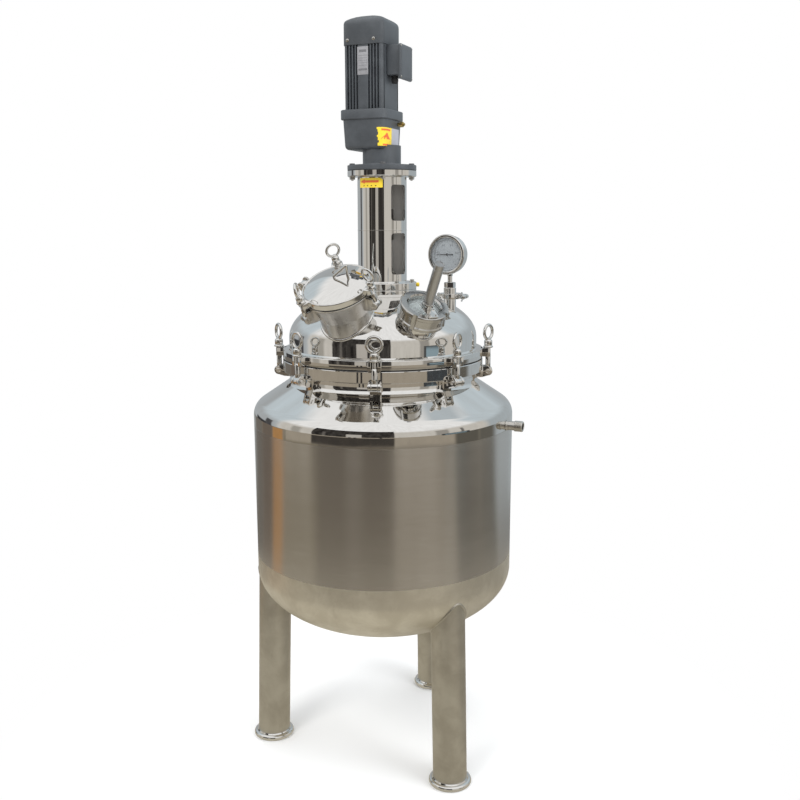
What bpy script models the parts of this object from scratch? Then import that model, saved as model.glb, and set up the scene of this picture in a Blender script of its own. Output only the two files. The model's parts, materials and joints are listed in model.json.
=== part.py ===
"""Jacketed reaction kettle: heated vessel, bolted dome lid, manhole, sight glass, gauge and stirrer drive."""
from math import cos, pi, radians, sin, sqrt, tan

import bmesh
import bpy
from mathutils import Euler, Matrix, Vector

# Sizes are in metres. +Z is up, the kettle's axis is Z, and azimuth 0 points to -Y, growing towards +X.
GAP = 0.0003

# Vessel and jacket
JACKET_RADIUS = 0.350
JACKET_WALL = 0.005
JACKET_BASE = 0.518
SHELL_HEIGHT = 0.519
DISH_DEPTH = 0.172
SHOULDER_ANGLE = radians(33.7)
SHOULDER_KNUCKLE = 0.045
VESSEL_RADIUS = 0.249
VESSEL_WALL = 0.004
VESSEL_LIFT = 0.102
VESSEL_DISH_DEPTH = 0.1245
OUTLET_RADIUS = 0.024
OUTLET_WALL = 0.004
OUTLET_DROP = 0.046
OUTLET_FLANGE_RADIUS = 0.033
OUTLET_FLANGE = 0.006

# Legs
LEG_RADIUS = 0.0445
LEG_RISE = 0.042
LEG_INSET_FLOOR = 0.029
LEG_INSET_TOP = 0.047
LEG_AZIMUTHS = {"leg_left": radians(-88), "leg_right": radians(32), "leg_rear": radians(152)}
FOOT_RADIUS = 0.056
FOOT_HEIGHT = 0.016

# Side nozzle of the jacket
NOZZLE_AZIMUTH = radians(66)
NOZZLE_DROP = 0.105
NOZZLE_LENGTH = 0.044
NOZZLE_STUB_RADIUS = 0.012
NOZZLE_RADIUS = 0.014
NOZZLE_BORE = 0.009
NOZZLE_WAIST = 0.002

# Main flanges and gasket
FLANGE_LEDGE = 0.0195
FLANGE_THICKNESS = 0.0235
NECK_RISE = 0.056
GASKET_THICKNESS = 0.003
GASKET_INSET = 0.0015

# Dome lid
DOME_OFFSET = 0.002
DOME_WALL = 0.004
DOME_DEPTH = 0.125
DOME_SKIRT = 0.030
PAD_RADIUS = 0.090
PAD_RISE = 0.002
PAD_BORE = 0.022

# Swing bolts round the main flange
LID_BOLT_COUNT = 8
LID_BOLT_START = radians(-4.3)
LID_PIVOT_REACH = 0.0145
LID_PIVOT_DROP = 0.035
LID_BOLT = dict(shank=0.0070, eye=0.0110, eye_width=0.0160, pin=0.0050, collar=0.0130, body=0.0110,
                body_height=0.0230, ring=0.0188, wire=0.0042, seat_reach=0.0055)
LID_RING_TURNS = (0, 18, -35, 10, 0, -15, 31, 0)
LID_EAR_WIDTH = 0.034
LID_LUG_WIDTH = 0.031

# How deep the tubes on the dome reach into it before their feet are shaped
NECK_SINK = 0.06

# Manhole on the dome
MANHOLE_AZIMUTH = radians(-26)
MANHOLE_SHARE = 0.8195
MANHOLE_TILT = radians(31.7)
MANHOLE_NECK_RADIUS = 0.0654
MANHOLE_WALL = 0.004
MANHOLE_FLANGE_RADIUS = 0.084
MANHOLE_FLANGE_THICKNESS = 0.010
MANHOLE_FLANGE_TOP = 0.078
MANHOLE_GASKET = 0.0024
COVER_RADIUS = 0.088
COVER_RIM = 0.016
COVER_RISE = 0.020
COVER_ROLL = 0.003
COVER_WALL = 0.004
MANHOLE_BOLT_COUNT = 3
MANHOLE_BOLT_START = radians(84)
MANHOLE_PIVOT_RADIUS = 0.100
MANHOLE_PIVOT_DROP = 0.028
MANHOLE_BOLT = dict(shank=0.0060, eye=0.0095, eye_width=0.0140, pin=0.0045, collar=0.0110, body=0.0095,
                    body_height=0.0200, ring=0.0162, wire=0.0034, seat_reach=0.0045)
MANHOLE_RING_TURNS = (80, 20, -33)
MANHOLE_EAR_WIDTH = 0.028
MANHOLE_LUG_WIDTH = 0.026
HINGE_AZIMUTH = radians(264)
HINGE_PIN_RADIUS = 0.0040
HINGE_REACH = 0.099
HINGE_GAP = 0.020
HINGE_PLATE = 0.005
HANDLE_WIRE = 0.0035
HANDLE_SPAN = 0.050
HANDLE_HEIGHT = 0.034
HANDLE_PLACE = (0.014, 0.006)
HANDLE_TURN = radians(45)

# Sight glass on the dome
SIGHT_AZIMUTH = radians(24)
SIGHT_SHARE = 0.8873
SIGHT_TILT = radians(32.5)
SIGHT_NECK_RADIUS = 0.044
SIGHT_WALL = 0.004
SIGHT_SEAT = 0.023
SIGHT_SEAT_RADIUS = 0.0500
SIGHT_SEAT_THICKNESS = 0.008
SIGHT_GASKET = 0.002
GLASS_RADIUS = 0.0485
GLASS_THICKNESS = 0.014
NUT_RADIUS = 0.0612
NUT_WAIST = 0.0026
NUT_LIP = 0.0143
NUT_MOUTH = 0.0415
NUT_NOTCH_WIDTH = 0.012
NUT_NOTCH_DEPTH = 0.005
NUT_NOTCHES = 4
LAMP_RADIUS = 0.0124
LAMP_LENGTH = 0.124
LAMP_OFFSET = 0.013
BRACKET_THICKNESS = 0.004
BRACKET_WIDTH = 0.028
BRACKET_BORE = 0.008

# Pressure gauge
GAUGE_AZIMUTH = radians(66.8)
GAUGE_SHARE = 0.757
GAUGE_PIPE_RADIUS = 0.016
GAUGE_PIPE_WALL = 0.002
GAUGE_STAND = 0.0309
FERRULE_RADIUS = 0.0252
FERRULE_THICKNESS = 0.0029
CLAMP_RADIUS = 0.030
CLAMP_HALF_HEIGHT = 0.007
CLAMP_LUG = 0.018
CLAMP_BOLT_REACH = 0.0125
CLAMP_AZIMUTH = radians(60)
WING_BOLT_RADIUS = 0.003
HEX_RADIUS = 0.0150
HEX_HEIGHT = 0.0125
ADAPTER_NECK = 0.0170
STEM_RADIUS = 0.006
GAUGE_RISE = 0.1065
GAUGE_TURN = radians(-31)
CASE_RADIUS = 0.048
CASE_WALL = 0.002
CASE_BACK = 0.007
CASE_FRONT = 0.026
BEZEL_RADIUS = 0.0515
BEZEL_DEPTH = 0.009
DIAL_RADIUS = 0.0440
DIAL_THICKNESS = 0.001
DIAL_DEPTH = 0.011
WINDOW_THICKNESS = 0.002
NEEDLE_LENGTH = 0.033
NEEDLE_TAIL = 0.017
NEEDLE_WIDTH = 0.003
NEEDLE_THICKNESS = 0.0008
NEEDLE_HUB = 0.0035

# Lantern, seal, shafts and stirrer
LANTERN_RADIUS = 0.0644
LANTERN_WALL = 0.005
LANTERN_FLANGE_RADIUS = 0.090
LANTERN_FOOT_FLANGE = 0.0177
LANTERN_HEAD_FLANGE = 0.015
LANTERN_HEIGHT = 0.3057
WINDOW_AZIMUTH = radians(44)
WINDOW_WIDTH = 0.050
WINDOW_CORNER = 0.008
WINDOW_SHARES = {"lower": (0.1299, 0.4766), "upper": (0.5813, 0.8790)}
SEAL_RADIUS = 0.042
SEAL_HEIGHT = 0.058
SHAFT_RADIUS = 0.015
SHAFT_DROP = 0.068
OUTPUT_RADIUS = 0.014
COUPLING_RADIUS = 0.030
COUPLING_SHARE = 0.5486
COUPLING_LENGTH = 0.080
ANCHOR_CLEARANCE = 0.035
ANCHOR_DEPTH = 0.095
ANCHOR_ARM = 0.340
ANCHOR_BAR = 0.030
ANCHOR_THICKNESS = 0.012
ANCHOR_HUB_RADIUS = 0.025
ANCHOR_HUB_HEIGHT = 0.080

# Gear motor, turned and set off the shaft axis
MOTOR_TURN = radians(-24)
MOTOR_OFFSET = 0.027
GEAR_FLANGE_RADIUS = 0.090
GEAR_FLANGE_THICKNESS = 0.0132
GEAR_NECK_RADIUS = 0.0498
GEAR_NECK_HEIGHT = 0.053
GEAR_BODY_HEIGHT = 0.073
GEAR_RIM_HEIGHT = 0.025
GEAR_HALF = 0.061
GEAR_TAPER = 0.003
GEAR_CORNER = 0.020
GEAR_RIM_HALF = 0.066
GEAR_RIM_CORNER = 0.022
MOTOR_LENGTH = 0.157
MOTOR_HALF = 0.054
MOTOR_CORNER = 0.010
FIN_PITCH = 0.0085
FIN_GROOVE = 0.0050
FIN_DEPTH = 0.0070
BAND_HALF = 0.0140
TERMINAL_BAND_HALF = 0.0400
COVER_HALF = 0.0566
COVER_CORNER = 0.014
COVER_HEIGHT = 0.053
CROWN_RISE = 0.022
CROWN = ((1.0, 0.0), (0.965, 0.23), (0.80, 0.59), (0.55, 0.84), (0.28, 0.977), (0.05, 1.0))
TERMINAL_SIZE = (0.034, 0.074, 0.073)
TERMINAL_SHIFT = 0.008
TERMINAL_DROP = 0.074
TERMINAL_LID_THICKNESS = 0.0065
TERMINAL_LID_MARGIN = 0.002
TERMINAL_LID_DROP = 0.010
GLAND_RADIUS = 0.009
GLAND_LENGTH = 0.018
GLAND_PLACE = (0.012, -0.012)
VENT_RADIUS = 0.007
VENT_LENGTH = 0.019
VENT_SHIFT = 0.028
VENT_DROP = 0.0085

# Facets of round pieces
BIG = 40
MIDDLE = 28
SMALL = 16
TINY = 10
DOME_STEPS = 8

FINISHES = {
    "polished_steel": ((0.62, 0.63, 0.64), 0.12, 1.0),
    "brushed_steel": ((0.42, 0.39, 0.35), 0.36, 1.0),
    "matte_steel": ((0.44, 0.41, 0.36), 0.48, 1.0),
    "motor_paint": ((0.105, 0.115, 0.125), 0.38, 0.1),
    "black_rubber": ((0.02, 0.02, 0.02), 0.7, 0.0),
    "brass": ((0.62, 0.45, 0.18), 0.3, 1.0),
    "clear_glass": ((0.75, 0.8, 0.82), 0.05, 0.0),
    "dial_white": ((0.72, 0.76, 0.78), 0.5, 0.0),
    "needle_black": ((0.02, 0.02, 0.02), 0.4, 0.0),
    "dark_steel": ((0.16, 0.16, 0.17), 0.4, 1.0),
    "lamp_grey": ((0.33, 0.31, 0.28), 0.35, 1.0),
}


def outward(azimuth):
    """Unit vector that points away from the axis at an azimuth."""
    return Vector((sin(azimuth), -cos(azimuth), 0))


def clear_bore(radius, facets):
    """Radius of a faceted bore in which a round bar turns freely."""
    return (radius + GAP) / cos(pi / facets)


def arc(centre, radius, start, end, steps, squash=1.0):
    """Points (r, z) on an arc from one angle to another, with its height squashed."""
    return [(centre[0] + radius * cos(start + (end - start) * i / steps),
             centre[1] + squash * radius * sin(start + (end - start) * i / steps))
            for i in range(steps + 1)]


def clear_scene():
    for item in list(bpy.data.objects):
        bpy.data.objects.remove(item)


def make_collection(name):
    group = bpy.data.collections.new(name)
    bpy.context.scene.collection.children.link(group)
    return group


def finish(name):
    """The Principled material of a finish, made once."""
    if name in bpy.data.materials:
        return bpy.data.materials[name]
    colour, roughness, metallic = FINISHES[name]
    made = bpy.data.materials.new(name)
    made.use_nodes = True
    shader = made.node_tree.nodes["Principled BSDF"]
    shader.inputs["Base Color"].default_value = (*colour, 1)
    shader.inputs["Roughness"].default_value = roughness
    shader.inputs["Metallic"].default_value = metallic
    made.diffuse_color = (*colour, 1)
    return made


def add(name, mesh, look=None, parent=None, location=(0, 0, 0), turn=(0, 0, 0)):
    """Put a mesh in the scene: a part where it has a finish, and otherwise a cutter."""
    item = bpy.data.objects.new(name, mesh)
    item.parent = parent
    item.location = location
    item.rotation_euler = Euler(turn)
    if look:
        PARTS.objects.link(item)
        if not mesh.materials:
            mesh.materials.append(finish(look))
    else:
        CUTTERS.objects.link(item)
        item.hide_render = True
        item.display_type = "WIRE"
    return item


def place(name, location, turn=(0, 0, 0), parent=None):
    """An empty that carries a group of pieces."""
    item = bpy.data.objects.new(name, None)
    item.empty_display_size = 0.03
    item.parent = parent
    item.location = location
    item.rotation_euler = Euler(turn)
    PARTS.objects.link(item)
    return item


def turned(name, profile, look=None, facets=SMALL, parent=None, location=(0, 0, 0), turn=(0, 0, 0)):
    """A turned piece: a closed (r, z) profile that starts at its top and runs down the outer side."""
    mesh = bpy.data.meshes.new(name)
    open_ends = profile[0][0] == 0 and profile[-1][0] == 0
    edges = [(i, i + 1) for i in range(len(profile) - 1)]
    if not open_ends:
        edges.append((len(profile) - 1, 0))
    edges = [(i, j) for i, j in edges if profile[i][0] or profile[j][0]]
    mesh.from_pydata([(r, 0, z) for r, z in profile], edges, [])
    item = add(name, mesh, look, parent, location, turn)
    screw = item.modifiers.new("turning", "SCREW")
    screw.steps = facets
    screw.render_steps = facets
    screw.use_merge_vertices = True
    screw.merge_threshold = 0.00001
    screw.use_smooth_shade = True
    return item


def rod(name, radius, low, high, look=None, facets=SMALL, **where):
    """A solid round bar along Z."""
    return turned(name, [(0, high), (radius, high), (radius, low), (0, low)], look, facets, **where)


def tube(name, radius, wall, low, high, look=None, facets=SMALL, **where):
    """A round tube along Z."""
    bore = radius - wall
    return turned(name, [(radius, high), (radius, low), (bore, low), (bore, high)], look, facets, **where)


def block(name, low, high, look=None, **where):
    """A box between two corners."""
    mesh = bpy.data.meshes.new(name)
    shape = bmesh.new()
    bmesh.ops.create_cube(shape, size=1)
    size = [b - a for a, b in zip(low, high)]
    middle = [(a + b) / 2 for a, b in zip(low, high)]
    bmesh.ops.transform(shape, matrix=Matrix.Translation(middle) @ Matrix.Diagonal((*size, 1)),
                        verts=shape.verts)
    shape.to_mesh(mesh)
    shape.free()
    return add(name, mesh, look, **where)


def lofted(name, rings, look=None, **where):
    """A closed solid through rings of points that match one by one, from the bottom up."""
    count = len(rings[0])
    corners = [point for ring in rings for point in ring]
    faces = [tuple(reversed(range(count)))]
    for level in range(len(rings) - 1):
        for i in range(count):
            j = (i + 1) % count
            low = level * count
            faces.append((low + i, low + j, low + count + j, low + count + i))
    faces.append(tuple(range(len(corners) - count, len(corners))))
    mesh = bpy.data.meshes.new(name)
    mesh.from_pydata(corners, [], faces)
    return add(name, mesh, look, **where)


def raised(outline, height):
    return [(x, y, height) for x, y in outline]


def rounded_square(half, corner, steps=5):
    """Outline of a square with round corners, turning left."""
    points = []
    for quarter in range(4):
        start = quarter * pi / 2
        turn = Matrix.Rotation(start, 2)
        for x, y in arc((half - corner, half - corner), corner, 0, pi / 2, steps):
            points.append(tuple(turn @ Vector((x, y))))
    return points


def rounded_box_outline(width, height, corner, steps=3):
    """Outline of an upright rectangle with round corners, turning left, about its centre."""
    points = []
    for sign_x, sign_y, start in ((1, 1, 0), (-1, 1, pi / 2), (-1, -1, pi), (1, -1, 3 * pi / 2)):
        centre = (sign_x * (width / 2 - corner), sign_y * (height / 2 - corner))
        points += arc(centre, corner, start, start + pi / 2, steps)
    return points


def as_mesh(item):
    """The finished mesh of an object, with its loose caps welded; the object itself is removed."""
    bpy.context.view_layer.update()
    graph = bpy.context.evaluated_depsgraph_get()
    mesh = bpy.data.meshes.new_from_object(item.evaluated_get(graph))
    shape = bmesh.new()
    shape.from_mesh(mesh)
    bmesh.ops.remove_doubles(shape, verts=shape.verts, dist=0.000001)
    shape.to_mesh(mesh)
    shape.free()
    name = item.name
    bpy.data.objects.remove(item)
    mesh.name = name
    return mesh


def plate(name, outline, thickness, look=None, **where):
    """A flat plate in local XY, cut to an outline, half its thickness to each side."""
    curve = bpy.data.curves.new(name, "CURVE")
    curve.dimensions = "2D"
    curve.fill_mode = "BOTH"
    curve.extrude = thickness / 2
    spline = curve.splines.new("POLY")
    spline.points.add(len(outline) - 1)
    for point, (x, y) in zip(spline.points, outline):
        point.co = (x, y, 0, 1)
    spline.use_cyclic_u = True
    flat = bpy.data.objects.new(name + "_outline", curve)
    CUTTERS.objects.link(flat)
    return add(name, as_mesh(flat), look, **where)


def bent_rod(name, points, radius, look=None, **where):
    """A round wire along points, with closed ends."""
    curve = bpy.data.curves.new(name, "CURVE")
    curve.dimensions = "3D"
    curve.bevel_depth = radius
    curve.bevel_resolution = 2
    curve.use_fill_caps = True
    spline = curve.splines.new("POLY")
    spline.points.add(len(points) - 1)
    for point, place_at in zip(spline.points, points):
        point.co = (*place_at, 1)
    wire = bpy.data.objects.new(name + "_path", curve)
    CUTTERS.objects.link(wire)
    return add(name, as_mesh(wire), look, **where)


def boolean(item, tool, operation):
    change = item.modifiers.new(tool.name, "BOOLEAN")
    change.operation = operation
    change.solver = "EXACT"
    change.object = tool


def cut(item, *tools):
    for tool in tools:
        boolean(item, tool, "DIFFERENCE")


def fuse(item, *tools):
    for tool in tools:
        boolean(item, tool, "UNION")


def round_edges(item, width, segments=2, angle=radians(40)):
    bevel = item.modifiers.new("edges", "BEVEL")
    bevel.width = width
    bevel.segments = segments
    bevel.limit_method = "ANGLE"
    bevel.angle_limit = angle
    return item


def solids_in_one(name, items, look=None):
    """Several separate solids as one object, for one cut or one union."""
    meshes = []
    bpy.context.view_layer.update()
    for item in items:
        matrix = item.matrix_world.copy()
        mesh = as_mesh(item)
        mesh.transform(matrix)
        meshes.append(mesh)
    shape = bmesh.new()
    for mesh in meshes:
        shape.from_mesh(mesh)
    whole = bpy.data.meshes.new(name)
    shape.to_mesh(whole)
    shape.free()
    return add(name, whole, look)


def ring_azimuths(start, count):
    return [start + i * 2 * pi / count for i in range(count)]


# Levels and shapes that several pieces share, each from the one it stands on
VESSEL_MOUTH = VESSEL_RADIUS - VESSEL_WALL
FLANGE_RADIUS = VESSEL_RADIUS + FLANGE_LEDGE
DOME_RADIUS = VESSEL_RADIUS + DOME_OFFSET
LID_PIVOT_RADIUS = FLANGE_RADIUS + LID_PIVOT_REACH
MANHOLE_CENTRE = DOME_RADIUS * MANHOLE_SHARE
SIGHT_CENTRE = DOME_RADIUS * SIGHT_SHARE
GAUGE_CENTRE = DOME_RADIUS * GAUGE_SHARE
ANCHOR_RADIUS = VESSEL_MOUTH - ANCHOR_CLEARANCE
LEG_TOP = JACKET_BASE + LEG_RISE
LEG_CIRCLE_FLOOR = JACKET_RADIUS - LEG_INSET_FLOOR
LEG_CIRCLE_TOP = JACKET_RADIUS - LEG_INSET_TOP
SHOULDER_TOP = JACKET_BASE + SHELL_HEIGHT
NOZZLE_HEIGHT = SHOULDER_TOP - NOZZLE_DROP
NOZZLE_REACH = JACKET_RADIUS + NOZZLE_LENGTH
OUTLET_END = JACKET_BASE - DISH_DEPTH - OUTLET_DROP
VESSEL_BASE = JACKET_BASE + VESSEL_LIFT
VESSEL_FLANGE_TOP = SHOULDER_TOP + NECK_RISE
SHAFT_BASE = VESSEL_BASE - SHAFT_DROP
ANCHOR_TOP = VESSEL_BASE + ANCHOR_ARM
LID_FLANGE_BASE = VESSEL_FLANGE_TOP + GASKET_THICKNESS + 0.0005
LID_FLANGE_TOP = LID_FLANGE_BASE + FLANGE_THICKNESS
DOME_BASE = LID_FLANGE_TOP + DOME_SKIRT
PAD_TOP = DOME_BASE + DOME_DEPTH + PAD_RISE
LANTERN_BASE = PAD_TOP + GAP
LANTERN_TOP = LANTERN_BASE + LANTERN_HEIGHT
WINDOWS = {name: (LANTERN_BASE + low * LANTERN_HEIGHT, LANTERN_BASE + high * LANTERN_HEIGHT)
           for name, (low, high) in WINDOW_SHARES.items()}
COUPLING_LEVEL = LANTERN_BASE + COUPLING_SHARE * LANTERN_HEIGHT
GEAR_NECK_TOP = LANTERN_TOP + GEAR_NECK_HEIGHT
GEAR_BODY_TOP = GEAR_NECK_TOP + GEAR_BODY_HEIGHT
GEAR_RIM_TOP = GEAR_BODY_TOP + GEAR_RIM_HEIGHT
MOTOR_TOP = GEAR_RIM_TOP + MOTOR_LENGTH
COVER_SHOULDER = MOTOR_TOP + COVER_HEIGHT
TERMINAL_BASE = MOTOR_TOP - TERMINAL_DROP
LID_PIVOT_LEVEL = VESSEL_FLANGE_TOP - LID_PIVOT_DROP
COVER_BASE = MANHOLE_FLANGE_TOP + MANHOLE_GASKET + 2 * GAP
COVER_SEAT = COVER_BASE + COVER_RIM
MANHOLE_PIVOT_LEVEL = MANHOLE_FLANGE_TOP - MANHOLE_PIVOT_DROP


def dome_level(radius, grow=0.0):
    """Height of the dome's outer surface, grown by a clearance, at a distance from the axis."""
    share = radius / (DOME_RADIUS + grow)
    return DOME_BASE + (DOME_DEPTH + grow) * sqrt(1 - share * share)


CLAMP_LEVEL = dome_level(GAUGE_CENTRE) + GAUGE_STAND
GAUGE_LEVEL = CLAMP_LEVEL + GAUGE_RISE


def dome_arc(start_radius, grow, steps):
    """Dome points from a radius out to the skirt; the same steps whatever the clearance."""
    share = start_radius / DOME_RADIUS
    start = Vector((share, sqrt(1 - share * share))).angle(Vector((1, 0)))
    wide = DOME_RADIUS + grow
    return arc((0, DOME_BASE), wide, start, 0, steps, (DOME_DEPTH + grow) / wide)


def on_dome(azimuth, radius, tilt, name):
    """An empty on the dome whose Z is a fitting's axis and whose -Y points out and down."""
    spot = outward(azimuth) * radius
    spot.z = dome_level(radius)
    return place(name, spot, (tilt, 0, azimuth))


def jacket_outline(inset):
    """Outer or inner line of the jacket, from the neck down to the outlet."""
    knuckle_centre = (JACKET_RADIUS - SHOULDER_KNUCKLE, 0)
    tangent = pi / 2 - SHOULDER_ANGLE
    run = knuckle_centre[0] + SHOULDER_KNUCKLE * cos(tangent) - VESSEL_RADIUS
    centre_level = SHOULDER_TOP - run * tan(SHOULDER_ANGLE) - SHOULDER_KNUCKLE * sin(tangent)
    line = [(VESSEL_RADIUS + GAP, SHOULDER_TOP - inset / cos(SHOULDER_ANGLE))]
    line += arc((knuckle_centre[0], centre_level), SHOULDER_KNUCKLE - inset, tangent, 0, 3)
    wide = JACKET_RADIUS - inset
    deep = DISH_DEPTH - inset
    share = (OUTLET_RADIUS + GAP) / wide
    end = Vector((share, sqrt(1 - share * share))).angle(Vector((1, 0)))
    line += arc((0, JACKET_BASE), wide, 0, -end, 7, deep / wide)
    return line


def build_jacket():
    outer = jacket_outline(0)
    inner = jacket_outline(JACKET_WALL)
    jacket = turned("outer_jacket", outer + inner[::-1], "brushed_steel", BIG)
    hole = rod("nozzle_hole", NOZZLE_STUB_RADIUS + GAP, JACKET_RADIUS - 0.04, JACKET_RADIUS + 0.04,
               location=(0, 0, NOZZLE_HEIGHT), turn=(pi / 2, 0, NOZZLE_AZIMUTH))
    cut(jacket, hole)
    seat = JACKET_RADIUS + 2 * GAP
    waist = NOZZLE_RADIUS - NOZZLE_WAIST
    half = (NOZZLE_REACH + seat) / 2
    turned("side_nozzle",
           [(waist, NOZZLE_REACH), (waist, half), (NOZZLE_RADIUS, half), (NOZZLE_RADIUS, seat),
            (NOZZLE_STUB_RADIUS, seat), (NOZZLE_STUB_RADIUS, JACKET_RADIUS - 2 * JACKET_WALL),
            (NOZZLE_BORE, JACKET_RADIUS - 2 * JACKET_WALL), (NOZZLE_BORE, NOZZLE_REACH)],
           "polished_steel", SMALL, location=(0, 0, NOZZLE_HEIGHT), turn=(pi / 2, 0, NOZZLE_AZIMUTH))


def build_legs():
    """Leaning tubes on rolled feet, their tops shaped to the jacket's dish."""
    outline = [(r + GAP, z) for r, z in jacket_outline(0)[1:-1]]
    floor_of_dish = JACKET_BASE - DISH_DEPTH - GAP
    space = turned("jacket_space", [(0, SHOULDER_TOP)] + outline + [(0, floor_of_dish)], None, BIG)
    lean = LEG_CIRCLE_FLOOR - LEG_CIRCLE_TOP
    for name, azimuth in LEG_AZIMUTHS.items():
        roll = FOOT_HEIGHT / 2
        rim = arc((FOOT_RADIUS - roll, roll), roll, pi / 2, -pi / 2, 4)
        leg = turned(name, [(0, LEG_TOP), (LEG_RADIUS, LEG_TOP), (LEG_RADIUS, FOOT_HEIGHT)] + rim + [(0, 0)],
                     "matte_steel", 24)
        mesh = as_mesh(leg)
        for vertex in mesh.vertices:
            vertex.co.y += lean * vertex.co.z / LEG_TOP
        leg = add(name, mesh, "matte_steel", location=outward(azimuth) * LEG_CIRCLE_FLOOR,
                  turn=(0, 0, azimuth))
        cut(leg, space)


def swing_lugs(name, azimuths, root, reach, pivot, level, top, sizes, width, parent=None):
    """Welded fork lugs with their pins: blocks to fuse, slots to cut, pins to fuse again."""
    blocks = []
    slots = []
    pins = []
    nose = sizes["eye"] + 0.001
    for number, azimuth in enumerate(azimuths):
        ends = arc((pivot, level), nose, -pi / 2, pi / 2 - 0.2, 3)
        outline = [(root, level - 1.5 * nose)] + ends + [(pivot, top), (root, top)]
        turn = (pi / 2, 0, azimuth - pi / 2)
        blocks.append(plate(f"{name}_block_{number}", outline, width, parent=parent, turn=turn))
        half = sizes["eye_width"] / 2 + GAP
        slots.append(block(f"{name}_slot_{number}", (-half, -pivot - 0.03, level - 0.03),
                           (half, -reach, top + 0.03), parent=parent, turn=(0, 0, azimuth)))
        long = width / 2 + 0.0025
        pins.append(rod(f"{name}_pin_{number}", sizes["pin"], -long, long, None, TINY, parent=parent,
                        location=outward(azimuth) * pivot + Vector((0, 0, level)),
                        turn=(0, pi / 2, azimuth)))
    return (solids_in_one(name + "_blocks", blocks), solids_in_one(name + "_slots", slots),
            solids_in_one(name + "_pins", pins))


def ears(name, azimuths, root, pivot, base, top, sizes, width, parent=None):
    """Ears on a rim that the bolts swing into, with their open slots."""
    blocks = []
    slots = []
    for number, azimuth in enumerate(azimuths):
        edge = pivot + sizes["seat_reach"]
        blocks.append(block(f"{name}_ear_{number}", (-width / 2, -edge, base), (width / 2, -root, top),
                            parent=parent, turn=(0, 0, azimuth)))
        half = sizes["shank"] + 2 * GAP
        outline = arc((0, -pivot), half, 0, pi, 4) + [(-half, -pivot - 0.03), (half, -pivot - 0.03)]
        height = top - base + 0.02
        slots.append(plate(f"{name}_ear_slot_{number}", outline, height, parent=parent,
                           location=(0, 0, (base + top) / 2), turn=(0, 0, azimuth)))
    return solids_in_one(name + "_ears", blocks), solids_in_one(name + "_ear_slots", slots)


def swing_bolt_meshes(name, sizes, seat):
    """Meshes of a swing bolt and of its eye nut; the pivot is at the origin and the shank along Z."""
    top = seat + sizes["body_height"] * 0.75
    wide = sizes["eye_width"]
    eye = rod(name + "_eye", sizes["eye"], -wide / 2, wide / 2, None, 14, turn=(0, pi / 2, 0))
    shank = rod(name + "_shank", sizes["shank"], 0, top, None, TINY)
    pin_hole = rod(name + "_hole", clear_bore(sizes["pin"], TINY), -wide, wide, None, TINY, turn=(0, pi / 2, 0))
    bolt = add(name + "_bolt", bpy.data.meshes.new(name))
    fuse(bolt, eye, shank)
    cut(bolt, pin_hole)
    bolt_mesh = as_mesh(bolt)
    low = seat + GAP
    high = low + sizes["body_height"]
    bore = clear_bore(sizes["shank"], TINY)
    collar = sizes["collar"]
    body = sizes["body"]
    thick = collar - body
    shell = [(0, high), (body - thick, high), (body, high - thick), (body, low + 2 * thick),
             (collar, low + thick), (collar, low), (bore, low), (bore, top + 0.002), (0, top + 0.002)]
    nut = turned(name + "_nut", shell, None, TINY)
    ring_level = high + sizes["ring"] - 0.0005
    bpy.ops.mesh.primitive_torus_add(major_segments=14, minor_segments=5, major_radius=sizes["ring"],
                                     minor_radius=sizes["wire"], location=(0, 0, ring_level),
                                     rotation=(pi / 2, 0, 0))
    ring = bpy.context.object
    ring.name = name + "_ring"
    for group in ring.users_collection:
        group.objects.unlink(ring)
    CUTTERS.objects.link(ring)
    ring.hide_render = True
    ring.display_type = "WIRE"
    fuse(nut, ring)
    nut_mesh = as_mesh(nut)
    return bolt_mesh, nut_mesh


def swing_bolts(name, azimuths, pivot, level, seat, sizes, ring_turns, parent=None):
    """Swing bolts in their lugs, each with its eye nut screwed down on the ear and turned by some degrees."""
    bolt_mesh, nut_mesh = swing_bolt_meshes(name, sizes, seat - level)
    for number, azimuth in enumerate(azimuths, 1):
        spot = outward(azimuth) * pivot + Vector((0, 0, level))
        bolt = add(f"{name}_bolt_{number}", bolt_mesh, "polished_steel", parent, spot, (0, 0, azimuth))
        twist = radians(ring_turns[(number - 1) % len(ring_turns)])
        add(f"{name}_eye_nut_{number}", nut_mesh, "polished_steel", bolt, turn=(0, 0, twist))


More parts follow.
